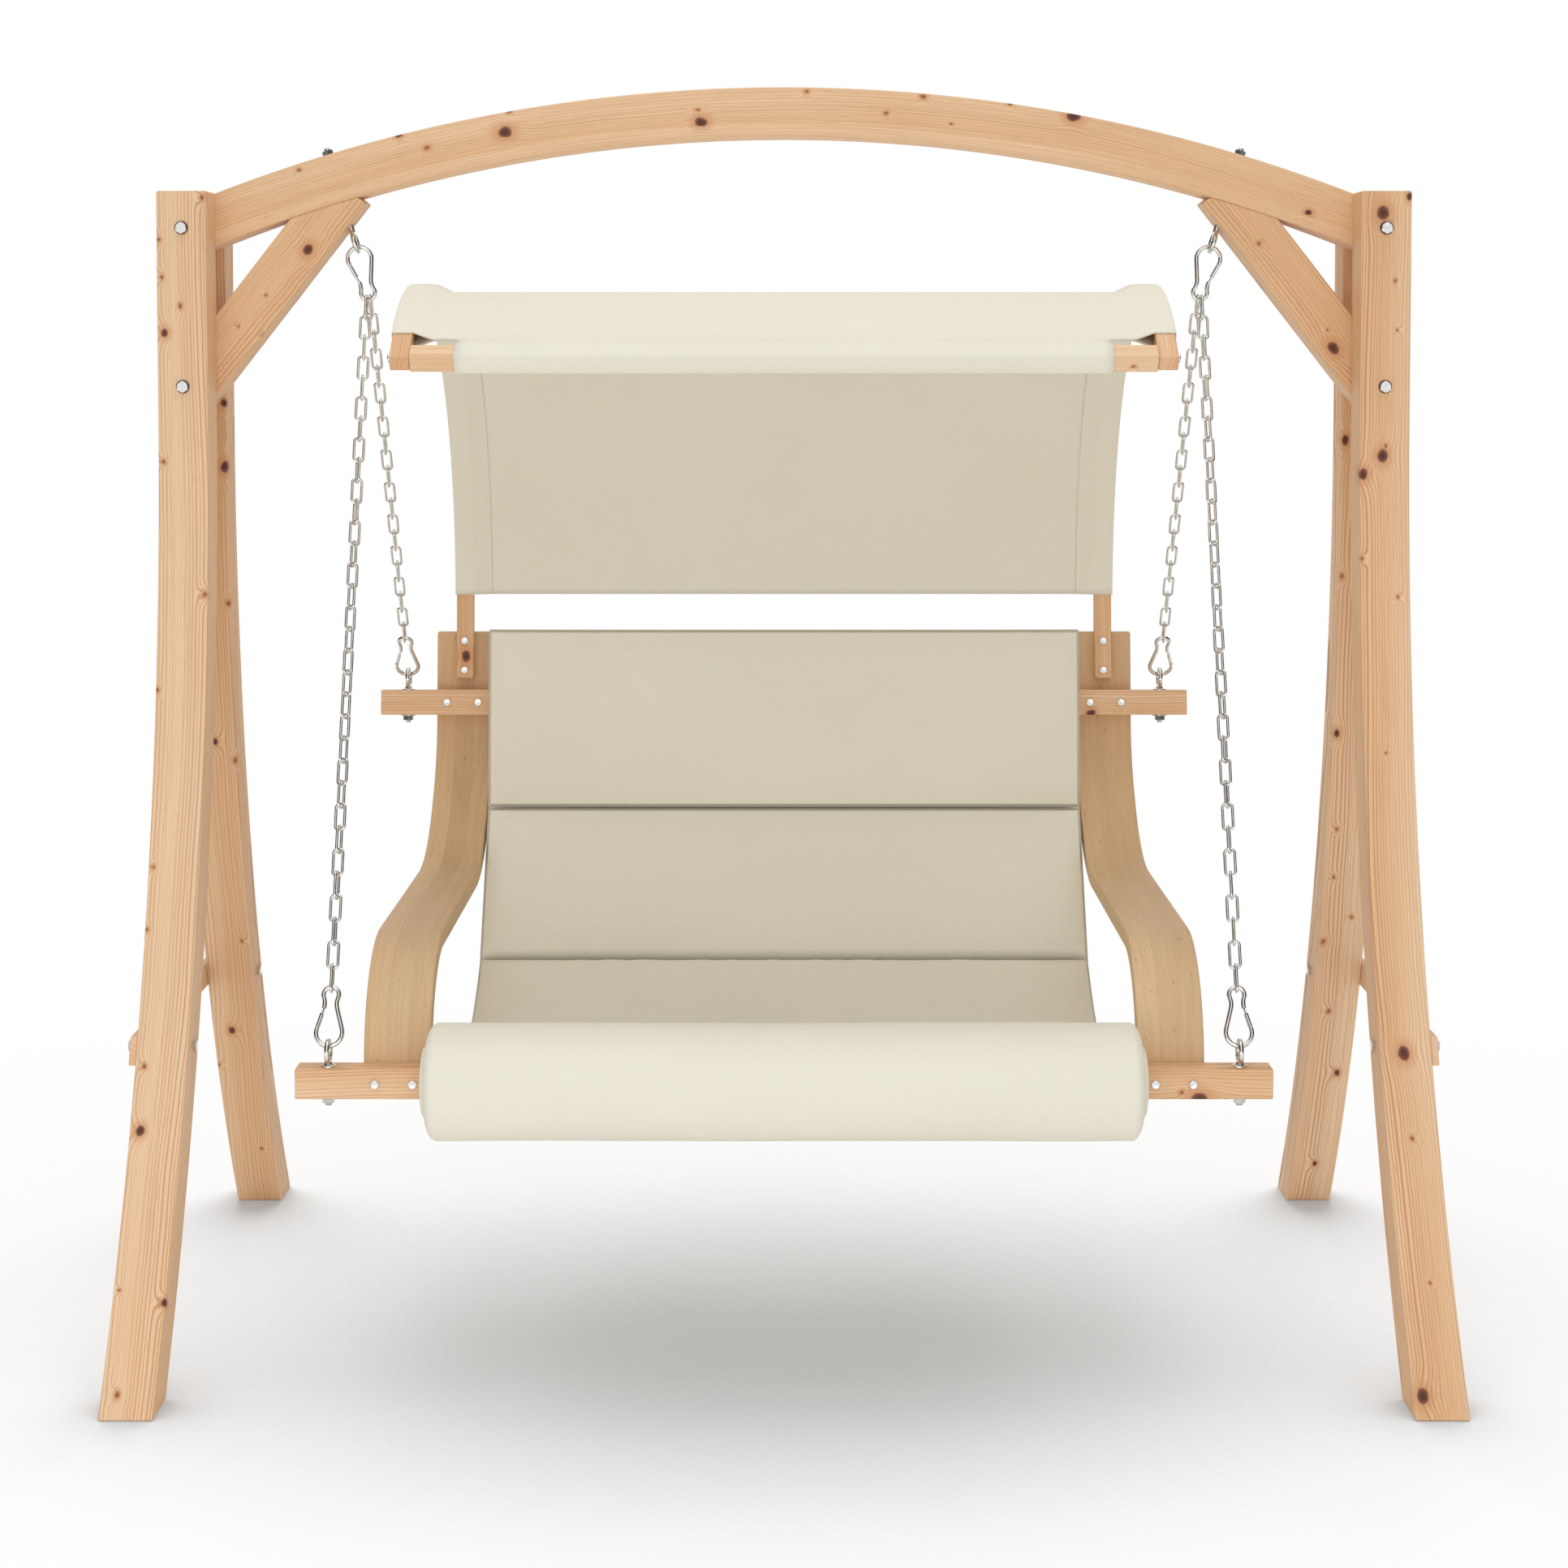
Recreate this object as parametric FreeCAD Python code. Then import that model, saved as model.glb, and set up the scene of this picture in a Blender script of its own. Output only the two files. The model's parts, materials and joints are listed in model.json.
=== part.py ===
import FreeCAD, Part
import math
import os

from FreeCAD import Matrix, Placement, Vector

# Garden swing: an arched timber stand that carries a hanging, cushioned seat under a canopy.
# Lengths are millimetres and angles are degrees. The origin is on the ground in the middle of the stand,
# +X runs along the beam, -Y is the side where people sit down, and +Z is up.

# Stand timbers
stand_width = 2000.0
stand_height = 1982.0
beam_radius = 2566.0
beam_height = 80.0
beam_depth = 75.0
leg_width = 80.0
leg_thickness = 75.0
leg_bend_drop = 49.5
leg_radius = 2420.0
brace_width = 80.0
brace_length = 407.0
brace_angle = 52.0
brace_drop = 253.0
stretcher_height = 42.0
stretcher_thickness = 12.0
stretcher_level = 476.0
stretcher_setback = 6.0

# Seat timbers
bar_size = 45.0
bar_end = 47.0
front_bar_y = -471.5
front_bar_drop = 189.5
rear_bar_y = 476.5
rear_bar_rise = 261.0
rear_lean = 6.0
side_inner_x = 530.0
side_width = 100.0
side_thickness = 29.0
side_top_rise = 128.0
side_elbow_y = 336.0
side_elbow_slope = 46.5
side_shoulder_radius = 200.0
side_elbow_radius = 280.0
side_front_radius = 182.0
armrest_height = 660.0
crossbar_bolt_inset = 23.0
crossbar_bolt_pitch = 56.0

# Canopy
canopy_rise = 740.5
canopy_arm_inset = 32.5
canopy_arm_width = 30.0
canopy_arm_thickness = 25.0
canopy_arm_start = 43.0
canopy_rear_radius = 545.0
canopy_front_radius = 450.0
canopy_front_slope = 37.0
canopy_crest_length = 68.0
canopy_arm_end_length = 40.0
canopy_bolt_first = 15.0
canopy_bolt_pitch = 53.0
canopy_rail_size = 30.0
canopy_screw_depth = 38.0
fabric_thickness = 2.0
fabric_gap = 0.5
fabric_taper = 27.0
fabric_hem_rise = 187.0
fabric_bare_arm = 61.0
fabric_rail_bare = 55.5

# Sling and cushions
sling_side_gap = 15.0
sling_thickness = 3.0
pad_side_gap = 3.0
pad_thickness = 60.0
pad_gap = 0.3
pad_crown = 12.0
pad_end_bulge = 5.0
pad_draw_in = 5.0
seam_gap = 0.8
upper_pad_top = 131.0
upper_pad_bottom = -178.0
sling_front_drop = 15.9
seat_low_drop = 62.5
seat_radius = 558.0
seat_crease_angle = 34.0
roll_forward = 33.5
roll_rise = 19.5
roll_radius = 86.0
roll_side_gap = 1.5
roll_corner_length = 17.0
roll_corner_drop = 34.0
roll_cap_bulge = 7.0

# Hanging gear
chain_wire = 5.0
chain_width = 20.0
chain_pitch = 35.5
link_gap = 0.3
chain_side_gap = 1.3
hook_wire = 7.0
hook_length = 95.0
hook_wide_radius = 19.5
hook_narrow_radius = 11.5
hook_neck_place = 28.5
hook_neck_half = 8.9
hook_tilt = 13.0
seat_clearance = 0.8
eye_outer = 40.0
eye_wire = 8.0
top_eye_drop = 160.0
top_eye_inset = 14.8
seat_eye_offset = 49.0
gate_pin_radius = 1.0
gate_pin_setback = 4.6
gate_tail = 2.6
gate_nose_reach = 2.0
gate_nose_gap = 0.4
gate_slot_depth = 3.8
tongue_reach = 2.4
tongue_half_width = 2.4
tongue_thickness = 3.0
gate_play = 0.3
pin_fit = 0.05

# Fasteners
bolt_radius = 5.0
bolt_head_flats = 17.0
bolt_head_height = 6.4
nut_height = 8.0
small_bolt_radius = 3.0
small_head_radius = 6.8
small_head_height = 3.6
small_nut_flats = 10.0
small_nut_height = 5.0
washer_radius = 14.0
washer_thickness = 2.0
eye_stud_reach = 4.0
eye_collar_radius = 9.0
hole_clearance = 0.2
overrun = 1.0

# Sides of the many-sided bars that stand for round stock, few because these pieces repeat so often
bar_sides = 6
head_sides = 8
wire_sides = 5
chain_sides = 3
arc_steps = 8
eye_steps = 10

SIDES = (("left", -1), ("right", 1))


# Plain geometry
def lean_frame(angle):
    """Up and forward directions of something that leans back by angle."""
    turn = math.radians(angle)
    return Vector(0, math.sin(turn), math.cos(turn)), Vector(0, -math.cos(turn), math.sin(turn))


def toward(start, end):
    return (end - start).normalize()


def meet(start, way, other, other_way):
    """Where two lines in one YZ plane cross."""
    gap = other - start
    cross = way.y * other_way.z - way.z * other_way.y
    return start + way * ((gap.y * other_way.z - gap.z * other_way.y) / cross)


def left_of(way):
    return Vector(0, -way.z, way.y)


def shifted(points, distance):
    """A run of points moved sideways, to the left of the way it goes in the YZ plane."""
    moved = []
    for place, corner in enumerate(points):
        pairs = (points[place - 1:place + 1], points[place:place + 2])
        ways = [toward(*pair) for pair in pairs if len(pair) == 2]
        normals = [left_of(way) for way in ways]
        if len(normals) == 1:
            moved.append(corner + normals[0] * distance)
        else:
            moved.append(corner + (normals[0] + normals[1]) * (distance / (1 + normals[0].dot(normals[1]))))
    return moved


def shifted_radii(points, radii, distance):
    changed = []
    for before, corner, after, radius in zip(points, points[1:], points[2:], radii):
        turns_left = left_of(toward(before, corner)).dot(after - corner) > 0
        changed.append(radius - distance if turns_left else radius + distance)
    return changed


def rounded_edges(points, radii):
    """Edges of an open run of straight lines with an arc at each inner corner."""
    edges = []
    last = points[0]
    for before, corner, after, radius in zip(points, points[1:], points[2:], radii):
        arriving = toward(before, corner)
        leaving = toward(corner, after)
        half_turn = arriving.getAngle(leaving) / 2
        reach = radius * math.tan(half_turn)
        inward = (leaving - arriving).normalize()
        begin = corner - arriving * reach
        middle = corner + inward * (radius / math.cos(half_turn) - radius)
        finish = corner + leaving * reach
        edges.append(Part.LineSegment(last, begin).toShape())
        edges.append(Part.Arc(begin, middle, finish).toShape())
        last = finish
    edges.append(Part.LineSegment(last, points[-1]).toShape())
    return edges


def strip_wire(points, radii, near, far):
    """Closed outline of the strip between two parallels of one bent run."""
    first_points = shifted(points, near)
    second_points = shifted(points, far)[::-1]
    first = rounded_edges(first_points, shifted_radii(points, radii, near))
    second = rounded_edges(second_points, shifted_radii(points, radii, far)[::-1])
    turn = Part.LineSegment(first_points[-1], second_points[0]).toShape()
    close = Part.LineSegment(second_points[-1], first_points[0]).toShape()
    return Part.Wire(first + [turn] + second + [close])


def across(wire, low_x, high_x):
    """A closed wire drawn in the YZ plane, made solid from low_x to high_x."""
    face = Part.Face(wire)
    face.translate(Vector(low_x, 0, 0))
    return face.extrude(Vector(high_x - low_x, 0, 0))


def polygon(points):
    return Part.makePolygon(points + [points[0]])


def slab(centre, along, start, end, sideways, half_side, half_thick):
    """A block that runs from start to end along one way, with its width sideways."""
    thick_way = along.cross(sideways)
    corner = centre + along * start - sideways * half_side - thick_way * half_thick
    outline = polygon([
        corner,
        corner + sideways * (2 * half_side),
        corner + sideways * (2 * half_side) + thick_way * (2 * half_thick),
        corner + thick_way * (2 * half_thick),
    ])
    return Part.Face(outline).extrude(along * (end - start))


def ring_points(centre, axis, radius, sides):
    """Corners of a regular polygon round an axis, with two of its sides level where it can be."""
    guide = Vector(1, 0, 0) if abs(axis.x) < math.cos(math.pi / 4) else Vector(0, 0, 1)
    first = (guide - axis * guide.dot(axis)).normalize()
    second = axis.cross(first)
    turns = [2 * math.pi * (k + 1 / 2) / sides for k in range(sides)]
    return [centre + first * (radius * math.cos(t)) + second * (radius * math.sin(t)) for t in turns]


def bar(start, axis, radius, length, sides=bar_sides):
    return Part.Face(polygon(ring_points(start, axis, radius, sides))).extrude(axis * length)


def hex_bar(start, axis, flats, length):
    return bar(start, axis, flats / math.sqrt(3), length, 6)


def bent_wire(path, normal, radius, sides, closed):
    """Many-sided wire bent along straight runs in the plane square to normal, with mitred corners."""
    rings = []
    count = len(path)
    for place, spot in enumerate(path):
        before = path[place - 1] if closed or place else None
        after = path[(place + 1) % count] if closed or place + 1 < count else None
        ways = [toward(*pair) for pair in ((before, spot), (spot, after)) if None not in pair]
        outs = [way.cross(normal) for way in ways]
        out = outs[0] if len(outs) == 1 else (outs[0] + outs[1]) * (1 / (1 + outs[0].dot(outs[1])))
        turns = [2 * math.pi * k / sides for k in range(sides)]
        rings.append([spot - out * (radius * math.cos(t)) + normal * (radius * math.sin(t)) for t in turns])
    faces = []
    for one, two in zip(rings, rings[1:] + (rings[:1] if closed else [])):
        for k in range(sides):
            nxt = (k + 1) % sides
            faces.append(Part.Face(polygon([one[k], one[nxt], two[nxt], two[k]])))
    if not closed:
        faces += [Part.Face(polygon(rings[0])), Part.Face(polygon(rings[-1]))]
    solid = Part.makeSolid(Part.makeShell(faces))
    if solid.Volume < 0:
        solid.reverse()
    return solid


def arc_points(centre, radius, start, end, steps):
    """Points on an arc in the local XZ plane, from angle start to angle end."""
    angles = [math.radians(start + (end - start) * k / steps) for k in range(steps + 1)]
    return [centre + Vector(radius * math.cos(a), 0, radius * math.sin(a)) for a in angles]


def placed(shape, x_way, y_way, z_way, origin):
    """A copy of a local shape with its axes turned to the three ways and its origin moved."""
    turn = Matrix(
        x_way.x, y_way.x, z_way.x, origin.x,
        x_way.y, y_way.y, z_way.y, origin.y,
        x_way.z, y_way.z, z_way.z, origin.z,
    )
    copy = shape.copy()
    copy.Placement = Placement(turn)
    return copy


def spot_at(x_way, y_way, z_way, origin, local):
    return origin + x_way * local.x + y_way * local.y + z_way * local.z


# Fasteners
def hex_bolt(seat, axis, grip):
    head = hex_bar(seat, axis * -1, bolt_head_flats, bolt_head_height)
    return head.fuse(bar(seat, axis, bolt_radius, grip + nut_height)).removeSplitter()


def round_bolt(seat, axis, grip):
    shares = ((0, 1), (1, 0.55))
    rings = [
        polygon(ring_points(seat - axis * (small_head_height * rise), axis, small_head_radius * reach,
                            head_sides))
        for rise, reach in shares
    ]
    head = Part.makeLoft(rings, True, True)
    return head.fuse(bar(seat, axis, small_bolt_radius, grip)).removeSplitter()


def nut(seat, axis, flats, height, radius):
    body = hex_bar(seat, axis, flats, height)
    return body.cut(bar(seat - axis * overrun, axis, radius + hole_clearance, height + 2 * overrun))


def washer(seat, axis):
    body = bar(seat, axis, washer_radius, washer_thickness, head_sides)
    bore_length = washer_thickness + 2 * overrun
    return body.cut(bar(seat - axis * overrun, axis, bolt_radius + hole_clearance, bore_length))


def hole(seat, axis, radius, length):
    return bar(seat - axis * overrun, axis, radius + hole_clearance, length + 2 * overrun)


def eye_bolt(centre, shank, ring_normal, seat_depth, reach, collar):
    """A ring with a threaded shank that leaves it along shank. seat_depth runs from centre to timber."""
    sweep = (eye_outer - eye_wire) / 2
    other = ring_normal.cross(shank)
    steps = [2 * math.pi * k / eye_steps for k in range(eye_steps)]
    path = [centre + shank * (sweep * math.cos(t)) + other * (sweep * math.sin(t)) for t in steps]
    ring = bent_wire(path, ring_normal, eye_wire / 2, wire_sides, True)
    body = ring.fuse(bar(centre + shank * sweep, shank, bolt_radius, reach - sweep))
    if collar:
        body = body.fuse(bar(centre + shank * (sweep + eye_wire / 4), shank, eye_collar_radius,
                             seat_depth - sweep - eye_wire / 4))
    return body.removeSplitter()


# Stand layout
half_width = stand_width / 2
leg_inner_x = half_width - leg_width
leg_middle_x = half_width - leg_width / 2
leg_face_y = beam_depth / 2 + leg_thickness
beam_centre_z = stand_height - beam_radius
beam_under_radius = beam_radius - beam_height
leg_height = beam_centre_z + math.sqrt(beam_radius ** 2 - leg_inner_x ** 2)
beam_bolt_z = beam_centre_z + math.sqrt((beam_radius - beam_height / 2) ** 2 - leg_middle_x ** 2)
brace_bolt_z = beam_bolt_z - brace_drop
leg_straight_start = brace_bolt_z - leg_bend_drop
beam_centre = Vector(0, 0, beam_centre_z)


def leg_reach(z, radius):
    """Distance from the middle plane of a leg's face, whose bend has this radius, at height z."""
    drop = max(leg_straight_start - z, 0)
    return leg_face_y + leg_radius - math.sqrt(radius ** 2 - drop ** 2)


def leg_face_edges(radius, back):
    """The outer or inner face of a leg in side view: straight above, bent outwards below."""
    spots = [Vector(0, back * leg_reach(z, radius), z) for z in (leg_height, leg_straight_start,
                                                                leg_straight_start / 2, 0)]
    return Part.LineSegment(spots[0], spots[1]).toShape(), Part.Arc(*spots[1:]).toShape(), spots[0], spots[-1]


def leg(side, back):
    outer_line, outer_arc, outer_top, outer_foot = leg_face_edges(leg_radius, back)
    inner_line, inner_arc, inner_top, inner_foot = leg_face_edges(leg_radius + leg_thickness, back)
    top = Part.LineSegment(inner_top, outer_top).toShape()
    foot = Part.LineSegment(outer_foot, inner_foot).toShape()
    outline = Part.Wire([outer_line, outer_arc, foot, inner_arc, inner_line, top])
    low_x, high_x = sorted((side * leg_inner_x, side * half_width))
    return across(outline, low_x, high_x)


def beam():
    angle = math.asin(half_width / beam_radius)
    low_angle = math.asin(half_width / beam_under_radius)
    turns = [math.pi / 2 + angle, math.pi / 2, math.pi / 2 - angle]
    low_turns = [math.pi / 2 - low_angle, math.pi / 2, math.pi / 2 + low_angle]
    back = Vector(0, -beam_depth / 2, 0)
    top = [beam_centre + back + Vector(math.cos(t), 0, math.sin(t)) * beam_radius for t in turns]
    low = [beam_centre + back + Vector(math.cos(t), 0, math.sin(t)) * beam_under_radius for t in low_turns]
    outline = Part.Wire([
        Part.Arc(*top).toShape(),
        Part.LineSegment(top[-1], low[0]).toShape(),
        Part.Arc(*low).toShape(),
        Part.LineSegment(low[-1], top[0]).toShape(),
    ])
    return Part.Face(outline).extrude(Vector(0, beam_depth, 0))


def brace_way(side):
    turn = math.radians(brace_angle)
    return Vector(-side * math.cos(turn), 0, math.sin(turn))


def brace(side):
    """Cut square above, scribed to the beam's underside, and flush with the leg's outer face below."""
    way = brace_way(side)
    bolt = Vector(side * leg_middle_x, 0, brace_bolt_z)
    tail = brace_width + leg_width
    body = slab(bolt, way, -tail, brace_length, Vector(0, 1, 0), beam_depth / 2, brace_width / 2)
    under = Part.makeCylinder(beam_under_radius, beam_depth, beam_centre - Vector(0, beam_depth / 2, 0),
                              Vector(0, 1, 0))
    inside = Part.makeBox(half_width, beam_depth, stand_height,
                          Vector(min(side * half_width, 0), -beam_depth / 2, 0))
    return body.common(under).common(inside)


def eye_axis(side):
    """Direction from the beam's centre of curvature out along the top eye bolt."""
    way = brace_way(side)
    bolt = Vector(side * leg_middle_x, 0, brace_bolt_z)
    from_centre = bolt - beam_centre
    along = way.dot(from_centre)
    reach = math.sqrt(along ** 2 - from_centre.dot(from_centre) + beam_under_radius ** 2) - along
    spot = bolt + way * reach - Vector(side * top_eye_inset, 0, 0)
    return (spot - beam_centre).normalize()


def stretcher(side):
    low = stretcher_level - stretcher_height / 2
    high = stretcher_level + stretcher_height / 2
    reaches = [(z, leg_reach(z, leg_radius) - stretcher_setback) for z in (low, high)]
    outline = polygon([
        Vector(0, -reaches[0][1], low), Vector(0, reaches[0][1], low),
        Vector(0, reaches[1][1], high), Vector(0, -reaches[1][1], high),
    ])
    low_x, high_x = sorted((side * half_width, side * (half_width + stretcher_thickness)))
    return across(outline, low_x, high_x)


# Seat layout
rear_up, rear_forward = lean_frame(rear_lean)
level_up, level_forward = lean_frame(0)
# The armrest's height carries the whole seat
front_bar_z = armrest_height - front_bar_drop
rear_bar_z = armrest_height + rear_bar_rise
canopy_top = rear_bar_z + canopy_rise
fabric_hem_height = rear_bar_z + fabric_hem_rise
seat_low_height = front_bar_z - seat_low_drop
front_bar_centre = Vector(0, front_bar_y, front_bar_z)
rear_bar_centre = Vector(0, rear_bar_y, rear_bar_z)
side_outer_x = side_inner_x + side_width
canopy_arm_inner_x = side_inner_x + canopy_arm_inset
fabric_rail_half = canopy_arm_inner_x - fabric_rail_bare
sling_half_width = side_inner_x - sling_side_gap
pad_half_width = side_inner_x - pad_side_gap
roll_half_width = side_inner_x - roll_side_gap
seat_eye_x = side_outer_x + seat_eye_offset
bar_length = 2 * (seat_eye_x + bar_end)
post_face = rear_bar_centre - rear_forward * (bar_size / 2)
front_post_y = front_bar_y + bar_size / 2


def side_frame_run():
    """Front and upper face of a side frame: rear post, shoulder, elbow, armrest and front post."""
    elbow = Vector(0, side_elbow_y, armrest_height)
    slope = math.radians(side_elbow_slope)
    shoulder = meet(post_face, rear_up, elbow, Vector(0, math.cos(slope), math.sin(slope)))
    return [
        post_face + rear_up * side_top_rise,
        shoulder,
        elbow,
        Vector(0, front_post_y, armrest_height),
        Vector(0, front_post_y, front_bar_z - bar_size / 2),
    ]


def side_frame(side):
    radii = [side_shoulder_radius, side_elbow_radius, side_front_radius]
    low_x, high_x = sorted((side * side_inner_x, side * side_outer_x))
    return across(strip_wire(side_frame_run(), radii, 0, side_thickness), low_x, high_x)


def crossbar(centre, up, forward):
    return slab(centre, Vector(1, 0, 0), -bar_length / 2, bar_length / 2, forward, bar_size / 2, bar_size / 2)


def canopy_run():
    """Rear and upper face of a canopy arm, from its foot on the side frame over to its front end."""
    slope = math.radians(canopy_front_slope)
    rear_turn = math.radians(90 + rear_lean)
    crest = Vector(0, 0, canopy_top)
    rear_corner = meet(post_face, rear_up, crest, Vector(0, -1, 0))
    rear_reach = canopy_rear_radius * math.tan(rear_turn / 2)
    front_reach = canopy_front_radius * math.tan(slope / 2)
    front_corner = rear_corner - Vector(0, rear_reach + canopy_crest_length + front_reach, 0)
    end = front_corner - Vector(0, math.cos(slope), math.sin(slope)) * (front_reach + canopy_arm_end_length)
    return [post_face + rear_up * canopy_arm_start, rear_corner, front_corner, end]


canopy_points = canopy_run()
canopy_radii = [canopy_rear_radius, canopy_front_radius]
canopy_end_way = toward(canopy_points[2], canopy_points[3])
canopy_end_out = left_of(canopy_end_way) * -1
canopy_end_middle = canopy_points[3] - canopy_end_out * (canopy_arm_thickness / 2)
rail_centre = canopy_end_middle - canopy_end_way * (canopy_rail_size / 2)


def canopy_arm(side):
    low_x, high_x = sorted((side * canopy_arm_inner_x, side * (canopy_arm_inner_x + canopy_arm_width)))
    return across(strip_wire(canopy_points, canopy_radii, 0, canopy_arm_thickness), low_x, high_x)


def square_tube(centre, forward, half_outer, half_inner, half_length):
    x_way = Vector(1, 0, 0)
    outer = slab(centre, x_way, -half_length, half_length, forward, half_outer, half_outer)
    reach = half_length + overrun
    inner = slab(centre, x_way, -reach, reach, forward, half_inner, half_inner)
    return outer.cut(inner)


def strip_loft(near_far_x):
    """A solid between parallels of the canopy arm's run that differ from one X to the next."""
    wires = []
    for near, far, x in near_far_x:
        wire = strip_wire(canopy_points, canopy_radii, near, far)
        wire.translate(Vector(x, 0, 0))
        wires.append(wire)
    return Part.makeLoft(wires, True, True)


def canopy_fabric():
    """One sheet between the arms, with a sleeve that tapers onto it along each arm and one round the rail."""
    skin = fabric_gap + fabric_thickness
    arm_outer_x = canopy_arm_inner_x + canopy_arm_width
    stitch_x = canopy_arm_inner_x - skin - fabric_taper
    middle = canopy_arm_thickness / 2
    half_sheet = fabric_thickness / 2
    sheet = (middle - half_sheet, middle + half_sheet)
    sleeve = (-skin, canopy_arm_thickness + skin)
    room = (-fabric_gap, canopy_arm_thickness + fabric_gap)
    body = strip_loft([(*sheet, -stitch_x), (*sheet, stitch_x)])
    rooms = []
    for side in (-1, 1):
        xs = [side * x for x in (stitch_x, canopy_arm_inner_x - skin, arm_outer_x + skin)]
        body = body.fuse(strip_loft([(*sheet, xs[0]), (*sleeve, xs[1])]))
        body = body.fuse(strip_loft([(*sleeve, xs[1]), (*sleeve, xs[2])]))
        inner = [side * x for x in (canopy_arm_inner_x - fabric_gap, arm_outer_x + fabric_gap)]
        rooms.append(strip_loft([(*room, x) for x in inner]))
    body = body.cut(rooms)
    wide = 2 * (arm_outer_x + skin + overrun)
    below_hem = Part.makeBox(wide, canopy_points[1].y, fabric_hem_height, Vector(-wide / 2, 0, 0))
    body = body.cut(below_hem)
    front = canopy_end_middle - canopy_end_way * fabric_bare_arm
    for side in (-1, 1):
        notch = slab(front + Vector(side * arm_outer_x, 0, 0), canopy_end_way, 0,
                     fabric_bare_arm + canopy_rail_size, Vector(1, 0, 0), arm_outer_x - fabric_rail_half,
                     canopy_rail_size)
        body = body.cut(notch)
    half_rail = canopy_rail_size / 2
    beyond = slab(rail_centre, Vector(1, 0, 0), -wide / 2, wide / 2, canopy_end_way, half_rail + skin,
                  half_rail + fabric_gap)
    body = body.cut(beyond)
    rail_sleeve = square_tube(rail_centre, canopy_end_way, half_rail + skin, half_rail + fabric_gap,
                              fabric_rail_half)
    return body.fuse(rail_sleeve).removeSplitter()


# Sling and cushions
sling_front = bar_size / 2 + pad_gap + sling_thickness
sling_radius = seat_radius + pad_thickness
sling_front_y = front_post_y + pad_gap + sling_thickness / 2
seat_centre_z = seat_low_height + seat_radius
sling_front_rise = seat_centre_z - front_bar_z + sling_front_drop
seat_centre_y = sling_front_y + math.sqrt(sling_radius ** 2 - sling_front_rise ** 2)
seat_centre = Vector(0, seat_centre_y, seat_centre_z)
roll_centre = Vector(0, front_bar_y - roll_forward, front_bar_z + roll_rise)


def seat_point(radius, angle):
    """A point on the seat's hollow, at an angle from straight below its centre, positive to the rear."""
    turn = math.radians(angle)
    return seat_centre + Vector(0, radius * math.sin(turn), -radius * math.cos(turn))


def roll_angle(radius, gap):
    """The angle at which the seat's hollow, at this radius, comes within a gap of the front roll."""
    way = roll_centre - seat_centre
    cosine = (radius ** 2 + way.Length ** 2 - (roll_radius + gap) ** 2) / (2 * radius * way.Length)
    return math.degrees(math.acos(cosine) + math.atan2(way.y, -way.z))


sling_corner = seat_point(sling_radius, seat_crease_angle)
pad_face = sling_front + pad_gap + pad_thickness
upper_back_foot = rear_bar_centre + rear_forward * pad_face + rear_up * upper_pad_bottom
seat_crease = seat_point(seat_radius, seat_crease_angle)
lower_way = toward(upper_back_foot, seat_crease)
sling_bend = meet(rear_bar_centre + rear_forward * sling_front, rear_up, sling_corner, lower_way)
sling_end_angle = -math.degrees(math.asin((seat_centre_y - sling_front_y) / sling_radius))


def sling_sheet(low, high, end_angle):
    """The hammock in side view, between its parallels at low and high above its own face."""
    def side_of(offset):
        run = shifted([rear_bar_centre + rear_forward * sling_front, sling_bend, sling_corner], offset)
        radius = sling_radius + offset
        corner = seat_point(radius, seat_crease_angle)
        edges = [
            Part.LineSegment(run[0], run[1]).toShape(),
            Part.LineSegment(run[1], corner).toShape(),
            Part.Arc(corner, seat_point(radius, (seat_crease_angle + end_angle) / 2),
                     seat_point(radius, end_angle)).toShape(),
        ]
        return edges, run[0], seat_point(radius, end_angle)
    upper, upper_start, upper_end = side_of(low)
    lower, lower_start, lower_end = side_of(high)
    turn = Part.LineSegment(upper_end, lower_end).toShape()
    close = Part.LineSegment(lower_start, upper_start).toShape()
    return Part.Wire(upper + [turn] + lower[::-1] + [close])


def seat_sling():
    """The hammock sheet with a sleeve round each crossbar."""
    body = across(sling_sheet(0, sling_thickness, sling_end_angle), -sling_half_width, sling_half_width)
    room = bar_size / 2 + pad_gap
    for centre, forward in ((rear_bar_centre, rear_forward), (front_bar_centre, level_forward)):
        body = body.fuse(square_tube(centre, forward, room + sling_thickness, room, sling_half_width))
    return body.removeSplitter()


# Where each cushion's width is cut into sections: share of the half width, thickness left, pull of its ends
pad_stations_shares = ((-1, 0.35, 0), (-0.95, 0.95, 0.2), (0, 1, 1), (0.95, 0.95, 0.2), (1, 0.35, 0))


def bowed(start, end, bulge):
    """An arc from start to end that stands out by bulge, to the left of the way it goes in the YZ plane."""
    middle = (start + end) * 0.5 + left_of(toward(start, end)) * bulge
    return Part.Arc(start, middle, end).toShape()


def back_pad(back_top, back_foot, front_foot, front_top):
    """A crowned cushion, thin at its two ends and drawn in along its upper and lower sides."""
    sections = []
    for share, fill, pull in pad_stations_shares:
        way = toward(front_top, front_foot)
        pulls = (way * (pad_draw_in * pull), way * (-pad_draw_in * pull))
        tops = (back_top + pulls[0], front_top + pulls[0])
        feet = (back_foot + pulls[1], front_foot + pulls[1])
        spare = (1 - fill) / 2
        corners = [ends[0] + (ends[1] - ends[0]) * part for ends, part in (
            (tops, spare), (feet, spare), (feet, 1 - spare), (tops, 1 - spare))]
        wire = Part.Wire([
            Part.LineSegment(corners[0], corners[1]).toShape(),
            bowed(corners[1], corners[2], -pad_end_bulge * fill / 4),
            bowed(corners[2], corners[3], -pad_crown * fill),
            bowed(corners[3], corners[0], -pad_end_bulge * fill / 4),
        ])
        wire.translate(Vector(share * pad_half_width, 0, 0))
        sections.append(wire)
    return Part.makeLoft(sections, True, True)


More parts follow.
